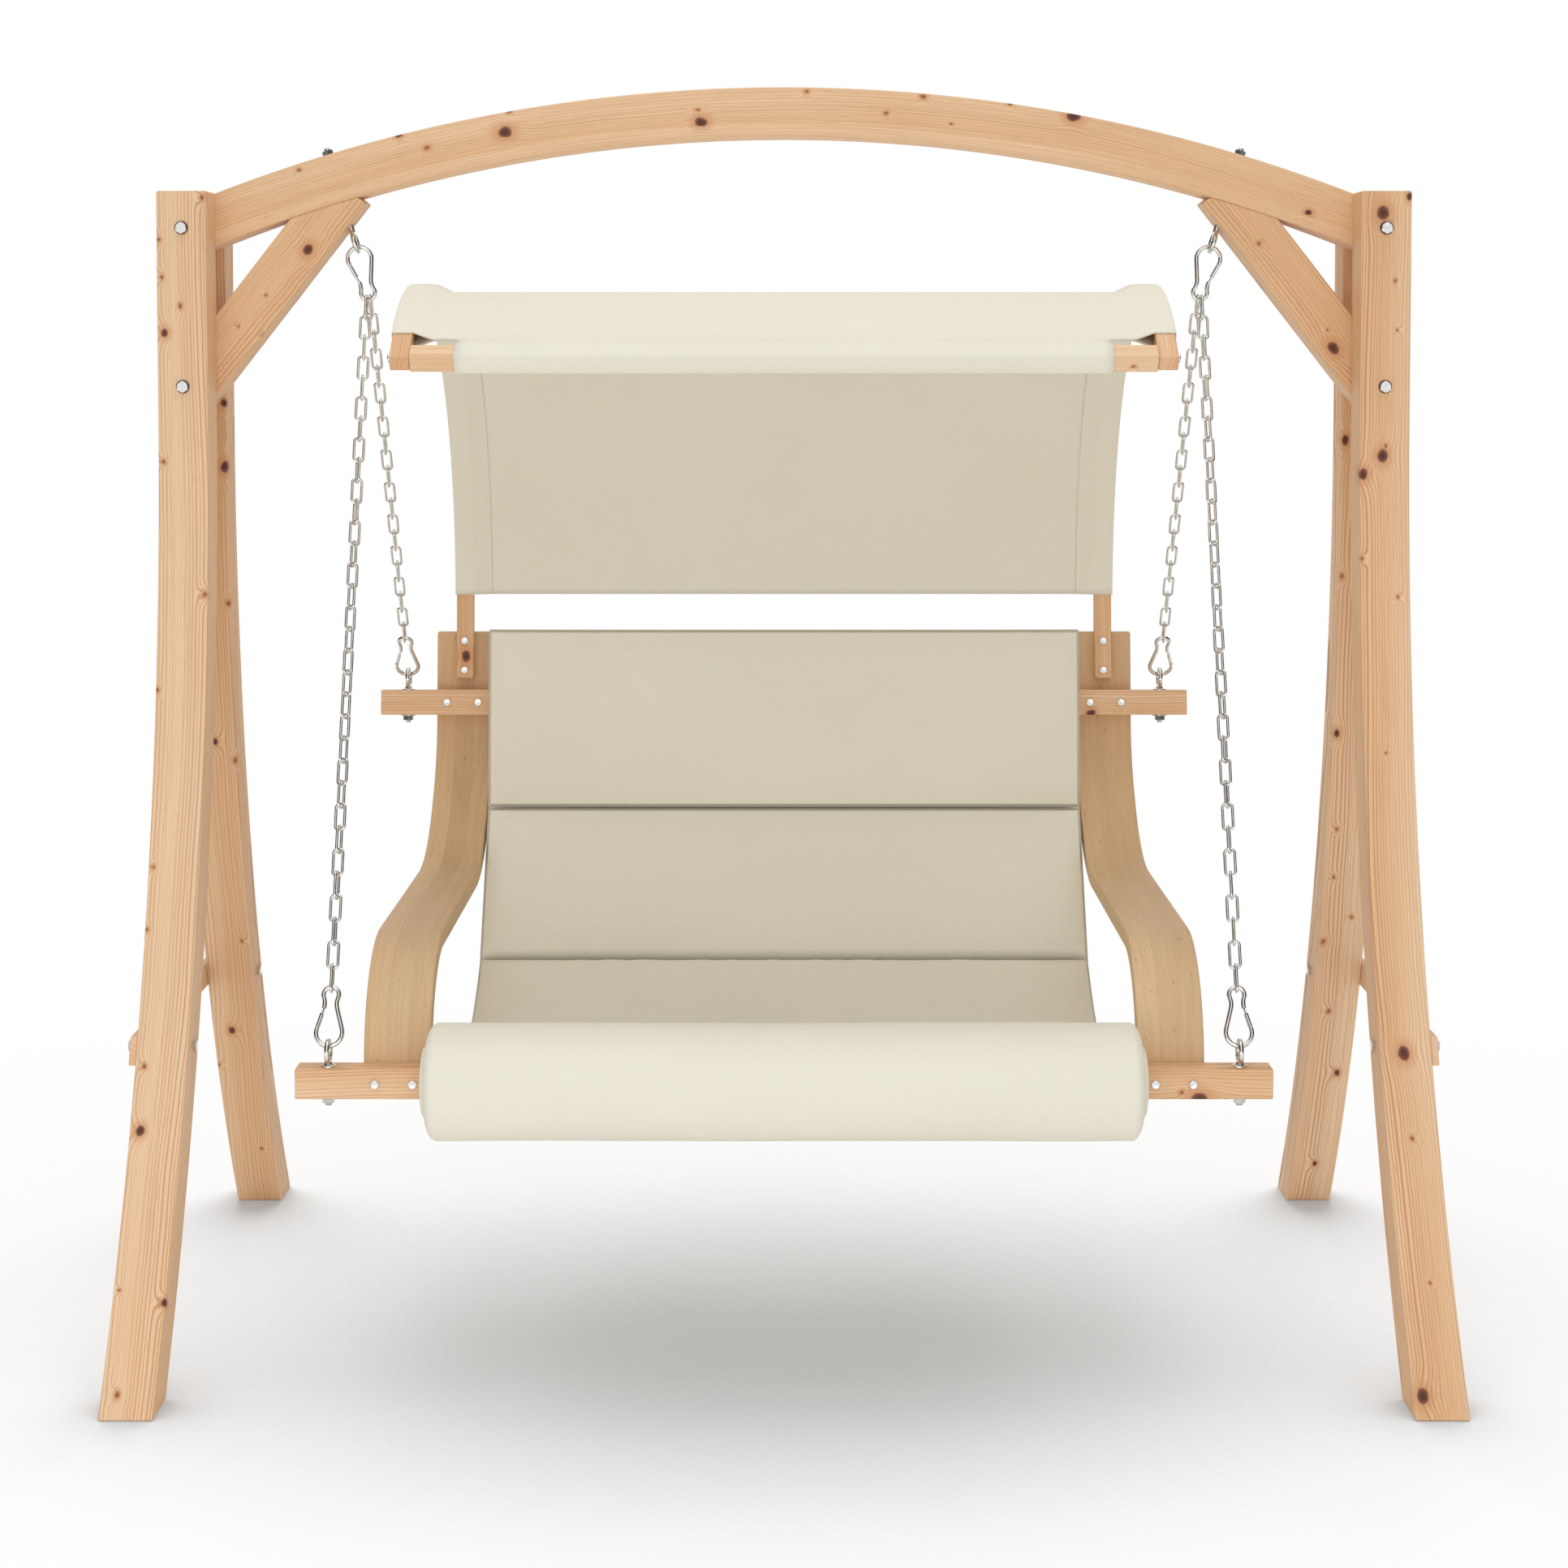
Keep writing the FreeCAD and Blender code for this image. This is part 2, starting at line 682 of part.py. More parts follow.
def seat_pad():
    """The cushion in the seat's hollow, with its front end scribed to the roll."""
    sections = []
    for share, fill, pull in pad_stations_shares:
        spare = pad_thickness * (1 - fill) / 2
        upper = seat_radius + spare
        lower = sling_radius - pad_gap - spare
        middle = (upper + lower) / 2
        gap = seam_gap + pad_draw_in * pull
        rear = seat_crease_angle - math.degrees((seam_gap + pad_draw_in * pull) / seat_radius)
        fronts = [roll_angle(radius, gap) for radius in (upper, middle, lower)]
        raised = upper - pad_crown * fill / 2
        wire = Part.Wire([
            Part.Arc(seat_point(lower, fronts[2]), seat_point(lower, (fronts[2] + rear) / 2),
                     seat_point(lower, rear)).toShape(),
            Part.LineSegment(seat_point(lower, rear), seat_point(upper, rear)).toShape(),
            Part.Arc(seat_point(upper, rear), seat_point(raised, (fronts[0] + rear) / 2),
                     seat_point(upper, fronts[0])).toShape(),
            Part.Arc(seat_point(upper, fronts[0]), seat_point(middle, fronts[1]),
                     seat_point(lower, fronts[2])).toShape(),
        ])
        wire.translate(Vector(share * pad_half_width, 0, 0))
        sections.append(wire)
    return Part.makeLoft(sections, True, True)


# The front roll's end: the domed cap from its middle out, then the round shoulder from its foot up
roll_cap_shares = ((1, 0), (1, 0.6))
roll_corner_shares = ((0, 1), (0.3, 0.3), (1, 0))


def front_roll():
    """A bolster round the front bar, with round shoulders, domed ends and a slit for the sling."""
    half = [Vector(roll_half_width + roll_cap_bulge * out, 0, (roll_radius - roll_corner_drop) * rise)
            for out, rise in roll_cap_shares]
    half += [Vector(roll_half_width - roll_corner_length * out, 0, roll_radius - roll_corner_drop * drop)
             for out, drop in roll_corner_shares]
    outline = polygon(half + [Vector(-p.x, 0, p.z) for p in half[::-1]])
    body = Part.Face(outline).revolve(Vector(0, 0, 0), Vector(1, 0, 0), 360)
    body.translate(roll_centre)
    long_half = roll_half_width + roll_cap_bulge + overrun
    room = sling_front + pad_gap
    body = body.cut(slab(front_bar_centre, Vector(1, 0, 0), -long_half, long_half, level_forward, room, room))
    slit = sling_sheet(-pad_gap, sling_thickness + pad_gap, sling_end_angle)
    return body.cut(across(slit, -long_half, long_half))


# Hanging gear
hook_span = hook_length - hook_wire
hook_wide_centre = Vector(0, 0, hook_wide_radius)
hook_narrow_centre = Vector(0, 0, hook_span - hook_narrow_radius)
hook_neck_z = hook_length - hook_wire / 2 - hook_neck_place


def neck_circle():
    """Centre and radius of the wire's inward bend, which runs into the narrow end's circle."""
    rise = hook_narrow_centre.z - hook_neck_z
    narrowing = hook_narrow_radius - hook_neck_half
    radius = (hook_neck_half ** 2 + rise ** 2 - hook_narrow_radius ** 2) / (2 * narrowing)
    return Vector(hook_neck_half + radius, 0, hook_neck_z), radius


neck_centre, neck_radius = neck_circle()
neck_reach = (neck_centre - hook_wide_centre).Length
neck_bearing = math.degrees(math.atan2(neck_centre.z - hook_wide_centre.z, neck_centre.x))
gate_bearing = neck_bearing - math.degrees(math.acos((hook_wide_radius + neck_radius) / neck_reach))
narrow_bearing = math.degrees(math.atan2(neck_centre.z - hook_narrow_centre.z, neck_centre.x))
gate_nose = arc_points(hook_wide_centre, hook_wide_radius, gate_bearing, gate_bearing, 1)[0]
gate_root = arc_points(neck_centre, neck_radius, 180 + gate_bearing, 180 + gate_bearing, 1)[0]
gate_way = toward(gate_root, gate_nose)
gate_side = gate_way.cross(Vector(0, 1, 0))
gate_pin = gate_root + gate_way * gate_pin_setback
pin_room_radius = (gate_pin_radius + pin_fit) / math.cos(math.pi / bar_sides)


def hook_body():
    """Pear-shaped wire from the gate's nose round the wide end, in at the neck and round the narrow end."""
    wide = arc_points(hook_wide_centre, hook_wide_radius, gate_bearing, -180 - gate_bearing, arc_steps)
    neck = arc_points(neck_centre, neck_radius, 180 + gate_bearing, 180 + narrow_bearing, 2)
    far_neck = [Vector(-p.x, 0, p.z) for p in neck]
    narrow = arc_points(hook_narrow_centre, hook_narrow_radius, 180 - narrow_bearing, narrow_bearing,
                        arc_steps)
    nose = [gate_nose - gate_way * gate_nose_reach]
    path = nose + wide + far_neck + narrow[1:] + neck[::-1][1:]
    body = bent_wire(path, Vector(0, 1, 0), hook_wire / 2, wire_sides, False)
    tongue = slab(gate_pin, gate_way, -gate_pin_setback - overrun, tongue_reach, gate_side, tongue_half_width,
                  tongue_thickness / 2)
    body = body.fuse(tongue).removeSplitter()
    pin_room = bar(gate_pin - Vector(0, hook_wire, 0), Vector(0, 1, 0), pin_room_radius, 2 * hook_wire)
    return body.cut(pin_room)


def hook_gate():
    """Straight gate with a forked tail over the hook's tongue."""
    path = [gate_pin - gate_way * gate_tail, gate_nose - gate_way * (gate_nose_reach + gate_nose_gap)]
    body = bent_wire(path, Vector(0, 1, 0), hook_wire / 2, wire_sides, False)
    slot = slab(gate_pin, gate_way, -gate_tail - overrun, gate_slot_depth, gate_side, hook_wire,
                tongue_thickness / 2 + gate_play)
    pin_room = bar(gate_pin - Vector(0, hook_wire, 0), Vector(0, 1, 0), pin_room_radius, 2 * hook_wire)
    return body.cut([slot, pin_room])


def hook_pin():
    length = hook_wire * math.sin(2 * math.pi / wire_sides)
    return Part.makeCylinder(gate_pin_radius, length, gate_pin - Vector(0, length / 2, 0), Vector(0, 1, 0))


def link(inner_length):
    """One link along local Z in the local XZ plane: straight sides, cut corners, a wire edge inward."""
    wire_radius = chain_wire / (1 + math.cos(math.pi / chain_sides))
    half_length = inner_length / 2 + wire_radius
    half_side = chain_width / 2 - chain_wire + wire_radius
    blunt = half_side * math.tan(math.pi / 6)
    corner_z = half_length - half_side + blunt
    quarter = [Vector(-half_side, 0, corner_z), Vector(-blunt, 0, half_length)]
    upper = quarter + [Vector(-p.x, 0, p.z) for p in quarter[::-1]]
    lower = [Vector(-p.x, 0, -p.z) for p in upper]
    return bent_wire(upper + lower, Vector(0, 1, 0), wire_radius, chain_sides, True)


def chain(top, foot):
    """Links from seat to seat, as many as the run takes, each turned from the one before."""
    way = toward(top, foot)
    length = (foot - top).Length
    count = round(length / chain_pitch)
    inner_length = (length + (count - 1) * link_gap) / count
    turn = math.pi * round((count - 1) / 2) / (count - 1)
    x_way = Vector(1, 0, 0)
    first_normal = (x_way - way * x_way.dot(way)).normalize()
    first_side = first_normal.cross(way)
    model = link(inner_length)
    links = []
    for place in range(count):
        centre = top + way * (inner_length / 2 + place * (inner_length - link_gap))
        normal = first_normal * math.cos(place * turn) + first_side * math.sin(place * turn)
        links.append(placed(model, normal.cross(way), normal, way, centre))
    return links


eye_inner = eye_outer / 2 - eye_wire
eye_seat = eye_inner - hook_wire / 2 - seat_clearance
wire_seat = hook_wire / 2 + seat_clearance
link_seat_z = hook_span - wire_seat
pair_side = (chain_wire + chain_side_gap) / 2
# The pair hangs round the lowest point of the tilted top hook, which is outward of its middle
pair_shares = {"front": 1.5, "rear": -0.5}


def pair_seat(share):
    """Where one of two links crosses the top hook's narrow end, and how far above that it bears."""
    shift = share * pair_side
    slope = math.asin(shift / hook_narrow_radius) - math.radians(hook_tilt)
    spot = hook_narrow_centre + Vector(shift, 0, math.sqrt(hook_narrow_radius ** 2 - shift ** 2))
    return spot, wire_seat / math.cos(slope)


# Joint places that the assembly gives, by name: a point and an axis
pivots = {}
pieces = {}


def keep(name, shape):
    pieces[name] = shape


def hang_hook(name, x_way, y_way, z_way, origin):
    """One hook with its gate; returns the pin, and keeps the gate's pivot."""
    keep(name + "_hook", placed(hook_body(), x_way, y_way, z_way, origin))
    keep(name + "_gate", placed(hook_gate(), x_way, y_way, z_way, origin))
    pivots[name + "_gate"] = (spot_at(x_way, y_way, z_way, origin, gate_pin), y_way)
    return placed(hook_pin(), x_way, y_way, z_way, origin)


# Stand assembly
legs = {(side, back): leg(side, back) for _, side in SIDES for back in (-1, 1)}
braces = {side: brace(side) for _, side in SIDES}
stretchers = {side: stretcher(side) for _, side in SIDES}
arch = beam()
back_way = Vector(0, 1, 0)
leg_grip = 2 * leg_face_y
leg_bolts = []
leg_nuts = []
for _, side in SIDES:
    for level in (beam_bolt_z, brace_bolt_z):
        seat = Vector(side * leg_middle_x, -leg_face_y, level)
        room = hole(seat, back_way, bolt_radius, leg_grip)
        leg_bolts.append(hex_bolt(seat, back_way, leg_grip))
        leg_nuts.append(nut(seat + back_way * leg_grip, back_way, bolt_head_flats, nut_height, bolt_radius))
        for back in (-1, 1):
            legs[side, back] = legs[side, back].cut(room)
        arch = arch.cut(room)
        braces[side] = braces[side].cut(room)
stretcher_bolts = []
stretcher_nuts = []
stretcher_grip = leg_width + stretcher_thickness
for _, side in SIDES:
    out_way = Vector(side, 0, 0)
    for back in (-1, 1):
        faces_y = [leg_reach(stretcher_level, leg_radius + depth) for depth in (0, leg_thickness)]
        middle_y = sum(faces_y) / 2
        seat = Vector(side * leg_inner_x, back * middle_y, stretcher_level)
        room = hole(seat, out_way, bolt_radius, stretcher_grip)
        stretcher_bolts.append(hex_bolt(seat, out_way, stretcher_grip))
        nut_seat = seat + out_way * stretcher_grip
        stretcher_nuts.append(nut(nut_seat, out_way, bolt_head_flats, nut_height, bolt_radius))
        legs[side, back] = legs[side, back].cut(room)
        stretchers[side] = stretchers[side].cut(room)
top_nuts = []
top_washers = []
eye_tops = {}
for name, side in SIDES:
    out_way = eye_axis(side)
    nut_seat = beam_centre + out_way * (beam_radius + washer_thickness)
    stud_top = nut_height + eye_stud_reach
    centre = nut_seat + out_way * (stud_top - top_eye_drop)
    ring_normal = Vector(0, 1, 0).cross(out_way)
    keep(name + "_top_eye_bolt", eye_bolt(centre, out_way, ring_normal, 0, top_eye_drop, False))
    room = hole(centre, out_way, bolt_radius, top_eye_drop)
    braces[side] = braces[side].cut(room)
    arch = arch.cut(room)
    washer_flat = bar(nut_seat - out_way * 2 * washer_thickness, out_way, washer_radius + hole_clearance,
                      2 * washer_thickness + overrun, head_sides)
    arch = arch.cut(washer_flat.translated(out_way * washer_thickness))
    top_washers.append(washer(nut_seat - out_way * washer_thickness, out_way))
    top_nuts.append(nut(nut_seat, out_way, bolt_head_flats, nut_height, bolt_radius))
    eye_tops[side] = centre - out_way * eye_seat

keep("arch_beam", arch)
for name, side in SIDES:
    keep(name + "_front_leg", legs[side, -1])
    keep(name + "_rear_leg", legs[side, 1])
    keep(name + "_brace", braces[side])
    keep(name + "_stretcher", stretchers[side])
keep("leg_bolts", leg_bolts)
keep("leg_nuts", leg_nuts)
keep("stretcher_bolts", stretcher_bolts)
keep("stretcher_nuts", stretcher_nuts)
keep("top_eye_nuts", top_nuts)
keep("top_eye_washers", top_washers)

# Seat assembly
side_frames = {side: side_frame(side) for _, side in SIDES}
arms = {side: canopy_arm(side) for _, side in SIDES}
bars = {
    "front": (crossbar(front_bar_centre, level_up, level_forward), front_bar_centre, level_up, level_forward),
    "rear": (crossbar(rear_bar_centre, rear_up, rear_forward), rear_bar_centre, rear_up, rear_forward),
}
crossbar_bolts = []
crossbar_nuts = []
seat_eye_bolts = []
seat_eye_nuts = []
seat_eye_washers = []
seat_eyes = {}
bar_solids = {}
crossbar_grip = bar_size + side_thickness
for row, (solid, centre, up, forward) in bars.items():
    into = forward * -1
    for _, side in SIDES:
        for step in (0, 1):
            x = side * (side_outer_x - crossbar_bolt_inset - step * crossbar_bolt_pitch)
            seat = centre + forward * (bar_size / 2) + Vector(x, 0, 0)
            room = hole(seat, into, small_bolt_radius, crossbar_grip)
            crossbar_bolts.append(round_bolt(seat, into, crossbar_grip + small_nut_height))
            crossbar_nuts.append(nut(seat + into * crossbar_grip, into, small_nut_flats, small_nut_height,
                                     small_bolt_radius))
            solid = solid.cut(room)
            side_frames[side] = side_frames[side].cut(room)
        ring_rise = bar_size / 2 + eye_outer / 2 + washer_thickness
        ring = centre + up * ring_rise + Vector(side * seat_eye_x, 0, 0)
        down = up * -1
        seat_depth = ring_rise - bar_size / 2
        reach = ring_rise + bar_size / 2 + washer_thickness + nut_height + eye_stud_reach
        seat_eye_bolts.append(eye_bolt(ring, down, Vector(1, 0, 0), seat_depth, reach, True))
        solid = solid.cut(hole(ring + down * seat_depth, down, bolt_radius, bar_size))
        under = ring + down * (seat_depth + bar_size)
        seat_eye_washers.append(washer(under, down))
        nut_seat = under + down * washer_thickness
        seat_eye_nuts.append(nut(nut_seat, down, bolt_head_flats, nut_height, bolt_radius))
        seat_eyes[side, row] = ring
    bar_solids[row] = solid

canopy_bolts = []
canopy_nuts = []
canopy_screws = []
rail = slab(rail_centre, Vector(1, 0, 0), -canopy_arm_inner_x, canopy_arm_inner_x, canopy_end_way,
            canopy_rail_size / 2, canopy_rail_size / 2)
canopy_grip = canopy_arm_thickness + side_thickness
for _, side in SIDES:
    arm_middle = Vector(side * (canopy_arm_inner_x + canopy_arm_width / 2), 0, 0)
    for step in (0, 1):
        rise = canopy_arm_start + canopy_bolt_first + step * canopy_bolt_pitch
        seat = post_face + rear_up * rise + rear_forward * canopy_arm_thickness + arm_middle
        into = rear_forward * -1
        room = hole(seat, into, small_bolt_radius, canopy_grip)
        canopy_bolts.append(round_bolt(seat, into, canopy_grip + small_nut_height))
        nut_seat = seat + into * canopy_grip
        canopy_nuts.append(nut(nut_seat, into, small_nut_flats, small_nut_height, small_bolt_radius))
        arms[side] = arms[side].cut(room)
        side_frames[side] = side_frames[side].cut(room)
    into = Vector(-side, 0, 0)
    seat = rail_centre + Vector(side * (canopy_arm_inner_x + canopy_arm_width), 0, 0)
    length = canopy_arm_width + canopy_screw_depth
    canopy_screws.append(round_bolt(seat, into, length))
    arms[side] = arms[side].cut(hole(seat, into, small_bolt_radius, length))
    rail = rail.cut(hole(seat, into, small_bolt_radius, length))

for name, side in SIDES:
    keep(name + "_side_frame", side_frames[side])
    keep(name + "_canopy_arm", arms[side])
keep("front_crossbar", bar_solids["front"])
keep("rear_crossbar", bar_solids["rear"])
keep("crossbar_bolts", crossbar_bolts)
keep("crossbar_nuts", crossbar_nuts)
keep("seat_eye_bolts", seat_eye_bolts)
keep("seat_eye_nuts", seat_eye_nuts)
keep("seat_eye_washers", seat_eye_washers)
keep("canopy_bolts", canopy_bolts)
keep("canopy_nuts", canopy_nuts)
keep("canopy_front_rail", rail)
keep("canopy_rail_screws", canopy_screws)
keep("canopy_fabric", canopy_fabric())
keep("seat_sling", seat_sling())

pad_back = rear_bar_centre + rear_forward * (sling_front + pad_gap)
pad_front = pad_back + rear_forward * pad_thickness
lower_out = left_of(lower_way)
seam = lower_way * (seam_gap / 2)
keep("upper_back_pad", back_pad(
    pad_back + rear_up * upper_pad_top,
    meet(pad_back, rear_up, sling_bend, toward(sling_bend, upper_back_foot)) + rear_up * seam_gap,
    upper_back_foot + rear_up * seam_gap,
    pad_front + rear_up * upper_pad_top,
))
keep("lower_back_pad", back_pad(
    sling_bend - lower_out * pad_gap + seam,
    sling_corner - lower_out * pad_gap - seam,
    seat_crease - seam,
    upper_back_foot + seam,
))
keep("seat_pad", seat_pad())
keep("front_roll", front_roll())

# Chains and hooks, from the top eyes down to the crossbars
gate_pins = []
for name, side in SIDES:
    tilt = math.radians(hook_tilt)
    down = Vector(-side * math.sin(tilt), 0, -math.cos(tilt))
    x_way = Vector(side * math.cos(tilt), 0, -math.sin(tilt))
    y_way = down.cross(x_way)
    gate_pins.append(hang_hook(name + "_top", x_way, y_way, down, eye_tops[side]))
    for row, share in pair_shares.items():
        eye = seat_eyes[side, row]
        spot, rise = pair_seat(share)
        crossing = spot_at(x_way, y_way, down, eye_tops[side], spot)
        way = toward(eye, crossing)
        top = crossing + way * rise
        foot_x_way = (Vector(side, 0, 0) - way * way.dot(Vector(side, 0, 0))).normalize()
        foot_y_way = way.cross(foot_x_way)
        origin = eye + way * eye_seat
        gate_pins.append(hang_hook(name + "_" + row, foot_x_way, foot_y_way, way, origin))
        keep(name + "_" + row + "_chain", chain(top, origin + way * link_seat_z))
keep("gate_pins", gate_pins)
pivots["seat_swing"] = (Vector(0, 0, eye_tops[1].z), Vector(1, 0, 0))

os.makedirs("parts", exist_ok=True)
for name, shape in pieces.items():
    solid = Part.makeCompound(shape) if isinstance(shape, list) else shape
    solid.exportStep("parts/" + name + ".step")
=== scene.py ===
import json
import math

import bmesh
import bpy
import numpy as np
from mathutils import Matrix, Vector, noise


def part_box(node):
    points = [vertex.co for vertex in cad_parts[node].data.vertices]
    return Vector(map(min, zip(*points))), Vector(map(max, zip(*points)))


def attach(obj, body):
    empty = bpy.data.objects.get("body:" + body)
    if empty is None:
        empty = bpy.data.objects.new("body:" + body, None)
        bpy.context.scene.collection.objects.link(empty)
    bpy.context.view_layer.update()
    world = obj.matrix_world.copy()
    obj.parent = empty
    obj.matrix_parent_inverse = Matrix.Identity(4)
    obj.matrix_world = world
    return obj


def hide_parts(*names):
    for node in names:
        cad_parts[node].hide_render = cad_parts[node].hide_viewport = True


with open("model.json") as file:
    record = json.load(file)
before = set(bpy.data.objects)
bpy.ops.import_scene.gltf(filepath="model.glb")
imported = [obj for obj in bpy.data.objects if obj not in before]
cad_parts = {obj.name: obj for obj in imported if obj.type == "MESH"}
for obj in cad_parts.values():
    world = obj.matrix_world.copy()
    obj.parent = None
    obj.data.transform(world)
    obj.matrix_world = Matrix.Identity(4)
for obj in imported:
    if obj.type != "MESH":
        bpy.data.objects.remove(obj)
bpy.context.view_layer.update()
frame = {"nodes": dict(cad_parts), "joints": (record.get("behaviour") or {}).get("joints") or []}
nodes = frame["nodes"]
scene = bpy.context.scene

# The dressed garden swing. Lengths are metres in the frame's axes: +X along the beam, -Y towards the
# side where people sit down, +Z up. Sizes below are those that the frame doesn't give by itself.

# Timber sizes
timber_ease = 0.0022
band_ease = 0.0030
ease_steps = 3
eased_angle = math.radians(15)
leg_thickness = 0.075
leg_radius = 2.420
beam_radius = 2.566
beam_height = 0.080
rear_lean = math.radians(6.0)
side_thickness = 0.029
side_top_rise = 0.128
side_elbow = np.array([0.336, 0.660])
side_elbow_slope = math.radians(46.5)
side_radii = (0.200, 0.280, 0.182)
arm_thickness = 0.025
arm_start = 0.043
arm_radii = (0.545, 0.450)
arm_front_slope = math.radians(37.0)
arm_crest_length = 0.068
arm_end_length = 0.040
rail_size = 0.030

# Cloth and cushion sizes
fabric_thickness = 0.0016
fabric_gap = 0.0006
fabric_taper = 0.027
fabric_hem_rise = 0.187
fabric_bare_arm = 0.061
fabric_rail_bare = 0.0555
soft_gap = 0.0003
sling_thickness = 0.003
sling_half_width = 0.515
sling_front_drop = 0.0159
pad_half_width = 0.527
pad_thickness = 0.060
pad_crown = 0.008
pad_draw_in = 0.0006
pad_round = 0.003
pad_rim = 0.0042
pad_rim_depth = 0.017
# Painted shade: how dark the cloth is painted where it lies deepest on a cushion's rim, for the shade in that
# recess
pad_rim_painted_shade = 0.74
pad_wall = 0.0026
pad_foot_wall = 0.013
pad_pressure = 4.0
pad_slack = 0.004
pad_swell = 0.004
upper_pad_top = 0.131
upper_pad_bottom = -0.1853
seat_low_drop = 0.0625
seat_radius = 0.558
seat_crease_angle = math.radians(35.2)
seam_gap = 0.0003
roll_sag = 0.0122
roll_shoulder_length = 0.017
roll_shoulder_drop = 0.034

# Hardware sizes
chain_wire = 0.0046
chain_corner = 0.0066
hook_wire = 0.007
hook_length = 0.095
hook_wide_radius = 0.0195
hook_narrow_radius = 0.0115
hook_neck_place = 0.0285
hook_neck_half = 0.0089
gate_pin_setback = 0.0046
gate_nose_reach = 0.002
gate_nose_gap = 0.0004
eye_outer = 0.040
eye_wire = 0.008
bolt_radius = 0.005
bolt_flats = 0.017
bolt_head_height = 0.0064
small_bolt_radius = 0.003
small_head_radius = 0.0068
small_head_height = 0.0036
small_flats = 0.010
thread_pitch = 0.0015
thread_depth = 0.0006
thread_length = 0.030
chamfer_share = 0.97
chamfer_slope = 0.58

# Angles above which an edge is drawn sharp
sharp_edge = math.radians(34)
sharp_hexagon = math.radians(20)
sharp_bend = math.radians(60)
sharp_cover = math.radians(80)
never_sharp = math.pi

SIDES = (("left", -1), ("right", 1))
ROWS = (("front", -1), ("rear", 1))
x_way, y_way, z_way = np.eye(3)


# Plain geometry in the YZ plane
def unit(way):
    return way / np.linalg.norm(way)


def left_of(way):
    return np.array([-way[1], way[0]])


def meet(start, way, other, other_way):
    """Where two lines cross."""
    gap = other - start
    cross = way[0] * other_way[1] - way[1] * other_way[0]
    return start + way * ((gap[0] * other_way[1] - gap[1] * other_way[0]) / cross)


def bent_run(points, radii, step=0.012):
    """Spots, left-hand normals and lengths along straight lines joined by arcs."""
    spots = [points[0]]
    normals = [left_of(unit(points[1] - points[0]))]
    for before, corner, after, radius in zip(points, points[1:], points[2:], radii):
        arriving, leaving = unit(corner - before), unit(after - corner)
        turn = math.atan2(np.dot(left_of(arriving), leaving), np.dot(arriving, leaving))
        bend = math.copysign(radius, turn)
        centre = corner - arriving * (radius * math.tan(abs(turn) / 2)) + left_of(arriving) * bend
        steps = max(2, round(abs(turn) * radius / step))
        for k in range(steps + 1):
            swing = turn * k / steps
            way = arriving * math.cos(swing) + left_of(arriving) * math.sin(swing)
            normals.append(left_of(way))
            spots.append(centre - normals[-1] * bend)
    spots.append(points[-1])
    normals.append(left_of(unit(points[-1] - points[-2])))
    spots, normals = np.array(spots), np.array(normals)
    pace = np.linalg.norm(np.diff(spots, axis=0), axis=1)
    return spots, normals, np.concatenate([[0], np.cumsum(pace)])


def middle_of(node):
    low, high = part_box(node)
    return np.array((low + high) / 2)


def half_of(node):
    low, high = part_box(node)
    return np.array((high - low) / 2)


# Places that the frame gives
half_width = half_of("arch_beam")[0]
beam_half_depth = half_of("arch_beam")[1]
beam_centre_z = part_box("arch_beam")[1].z - beam_radius
leg_face_y = beam_half_depth + leg_thickness
leg_width = 2 * half_of("left_front_leg")[0]
leg_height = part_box("left_front_leg")[1].z
leg_foot_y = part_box("left_rear_leg")[1].y
leg_bend_start = math.sqrt(leg_radius ** 2 - (leg_radius + leg_face_y - leg_foot_y) ** 2)
front_bar = middle_of("front_crossbar")[1:]
rear_bar = middle_of("rear_crossbar")[1:]
bar_half = half_of("front_crossbar")[1]
rear_up = np.array([math.sin(rear_lean), math.cos(rear_lean)])
rear_forward = np.array([-math.cos(rear_lean), math.sin(rear_lean)])
post_face = rear_bar - rear_forward * bar_half
front_post_y = front_bar[0] + bar_half
arm_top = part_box("left_canopy_arm")[1].z
arm_inner_x, arm_outer_x = (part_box("right_canopy_arm")[k].x for k in (0, 1))
roll_centre = middle_of("front_roll")[1:] - np.array([0.0, roll_sag])
roll_radius = half_of("front_roll")[2]
roll_reach = half_of("front_roll")[0]


# Mesh building
def mesh_object(name, points, faces, fields=None, sharp=sharp_edge):
    """A mesh object with outward faces, smooth but for sharp edges, with vector fields on its points."""
    mesh = bpy.data.meshes.new(name)
    mesh.from_pydata([tuple(p) for p in points], [], faces)
    for key, values in (fields or {}).items():
        field = mesh.attributes.new(key, "FLOAT_VECTOR", "POINT")
        field.data.foreach_set("vector", np.asarray(values, np.float32).ravel())
    work = bmesh.new()
    work.from_mesh(mesh)
    bmesh.ops.recalc_face_normals(work, faces=work.faces)
    work.to_mesh(mesh)
    work.free()
    mesh.shade_smooth()
    mesh.set_sharp_from_angle(angle=sharp)
    made = bpy.data.objects.new(name, mesh)
    scene.collection.objects.link(made)
    return made


def weighted_normals(piece):
    """Takes point normals from faces by area, so that flat faces stay flat beside eased edges."""
    mesh = piece.data
    sums = np.zeros((len(mesh.vertices), 3))
    for face in mesh.polygons:
        sums[list(face.vertices)] += np.array(face.normal) * face.area
    mesh.normals_split_custom_set_from_vertices(sums / np.linalg.norm(sums, axis=1)[:, None])
    return piece


def loft_faces(count, around, closed=True, caps=True, first=0):
    """Faces between rings of points, with a cap on each end."""
    faces = []
    for k in range(count - 1):
        for j in range(around if closed else around - 1):
            near, far = first + k * around, first + (k + 1) * around
            nxt = (j + 1) % around
            faces.append((near + j, near + nxt, far + nxt, far + j))
    if caps:
        faces.append(tuple(first + j for j in range(around))[::-1])
        faces.append(tuple(first + (count - 1) * around + j for j in range(around)))
    return faces


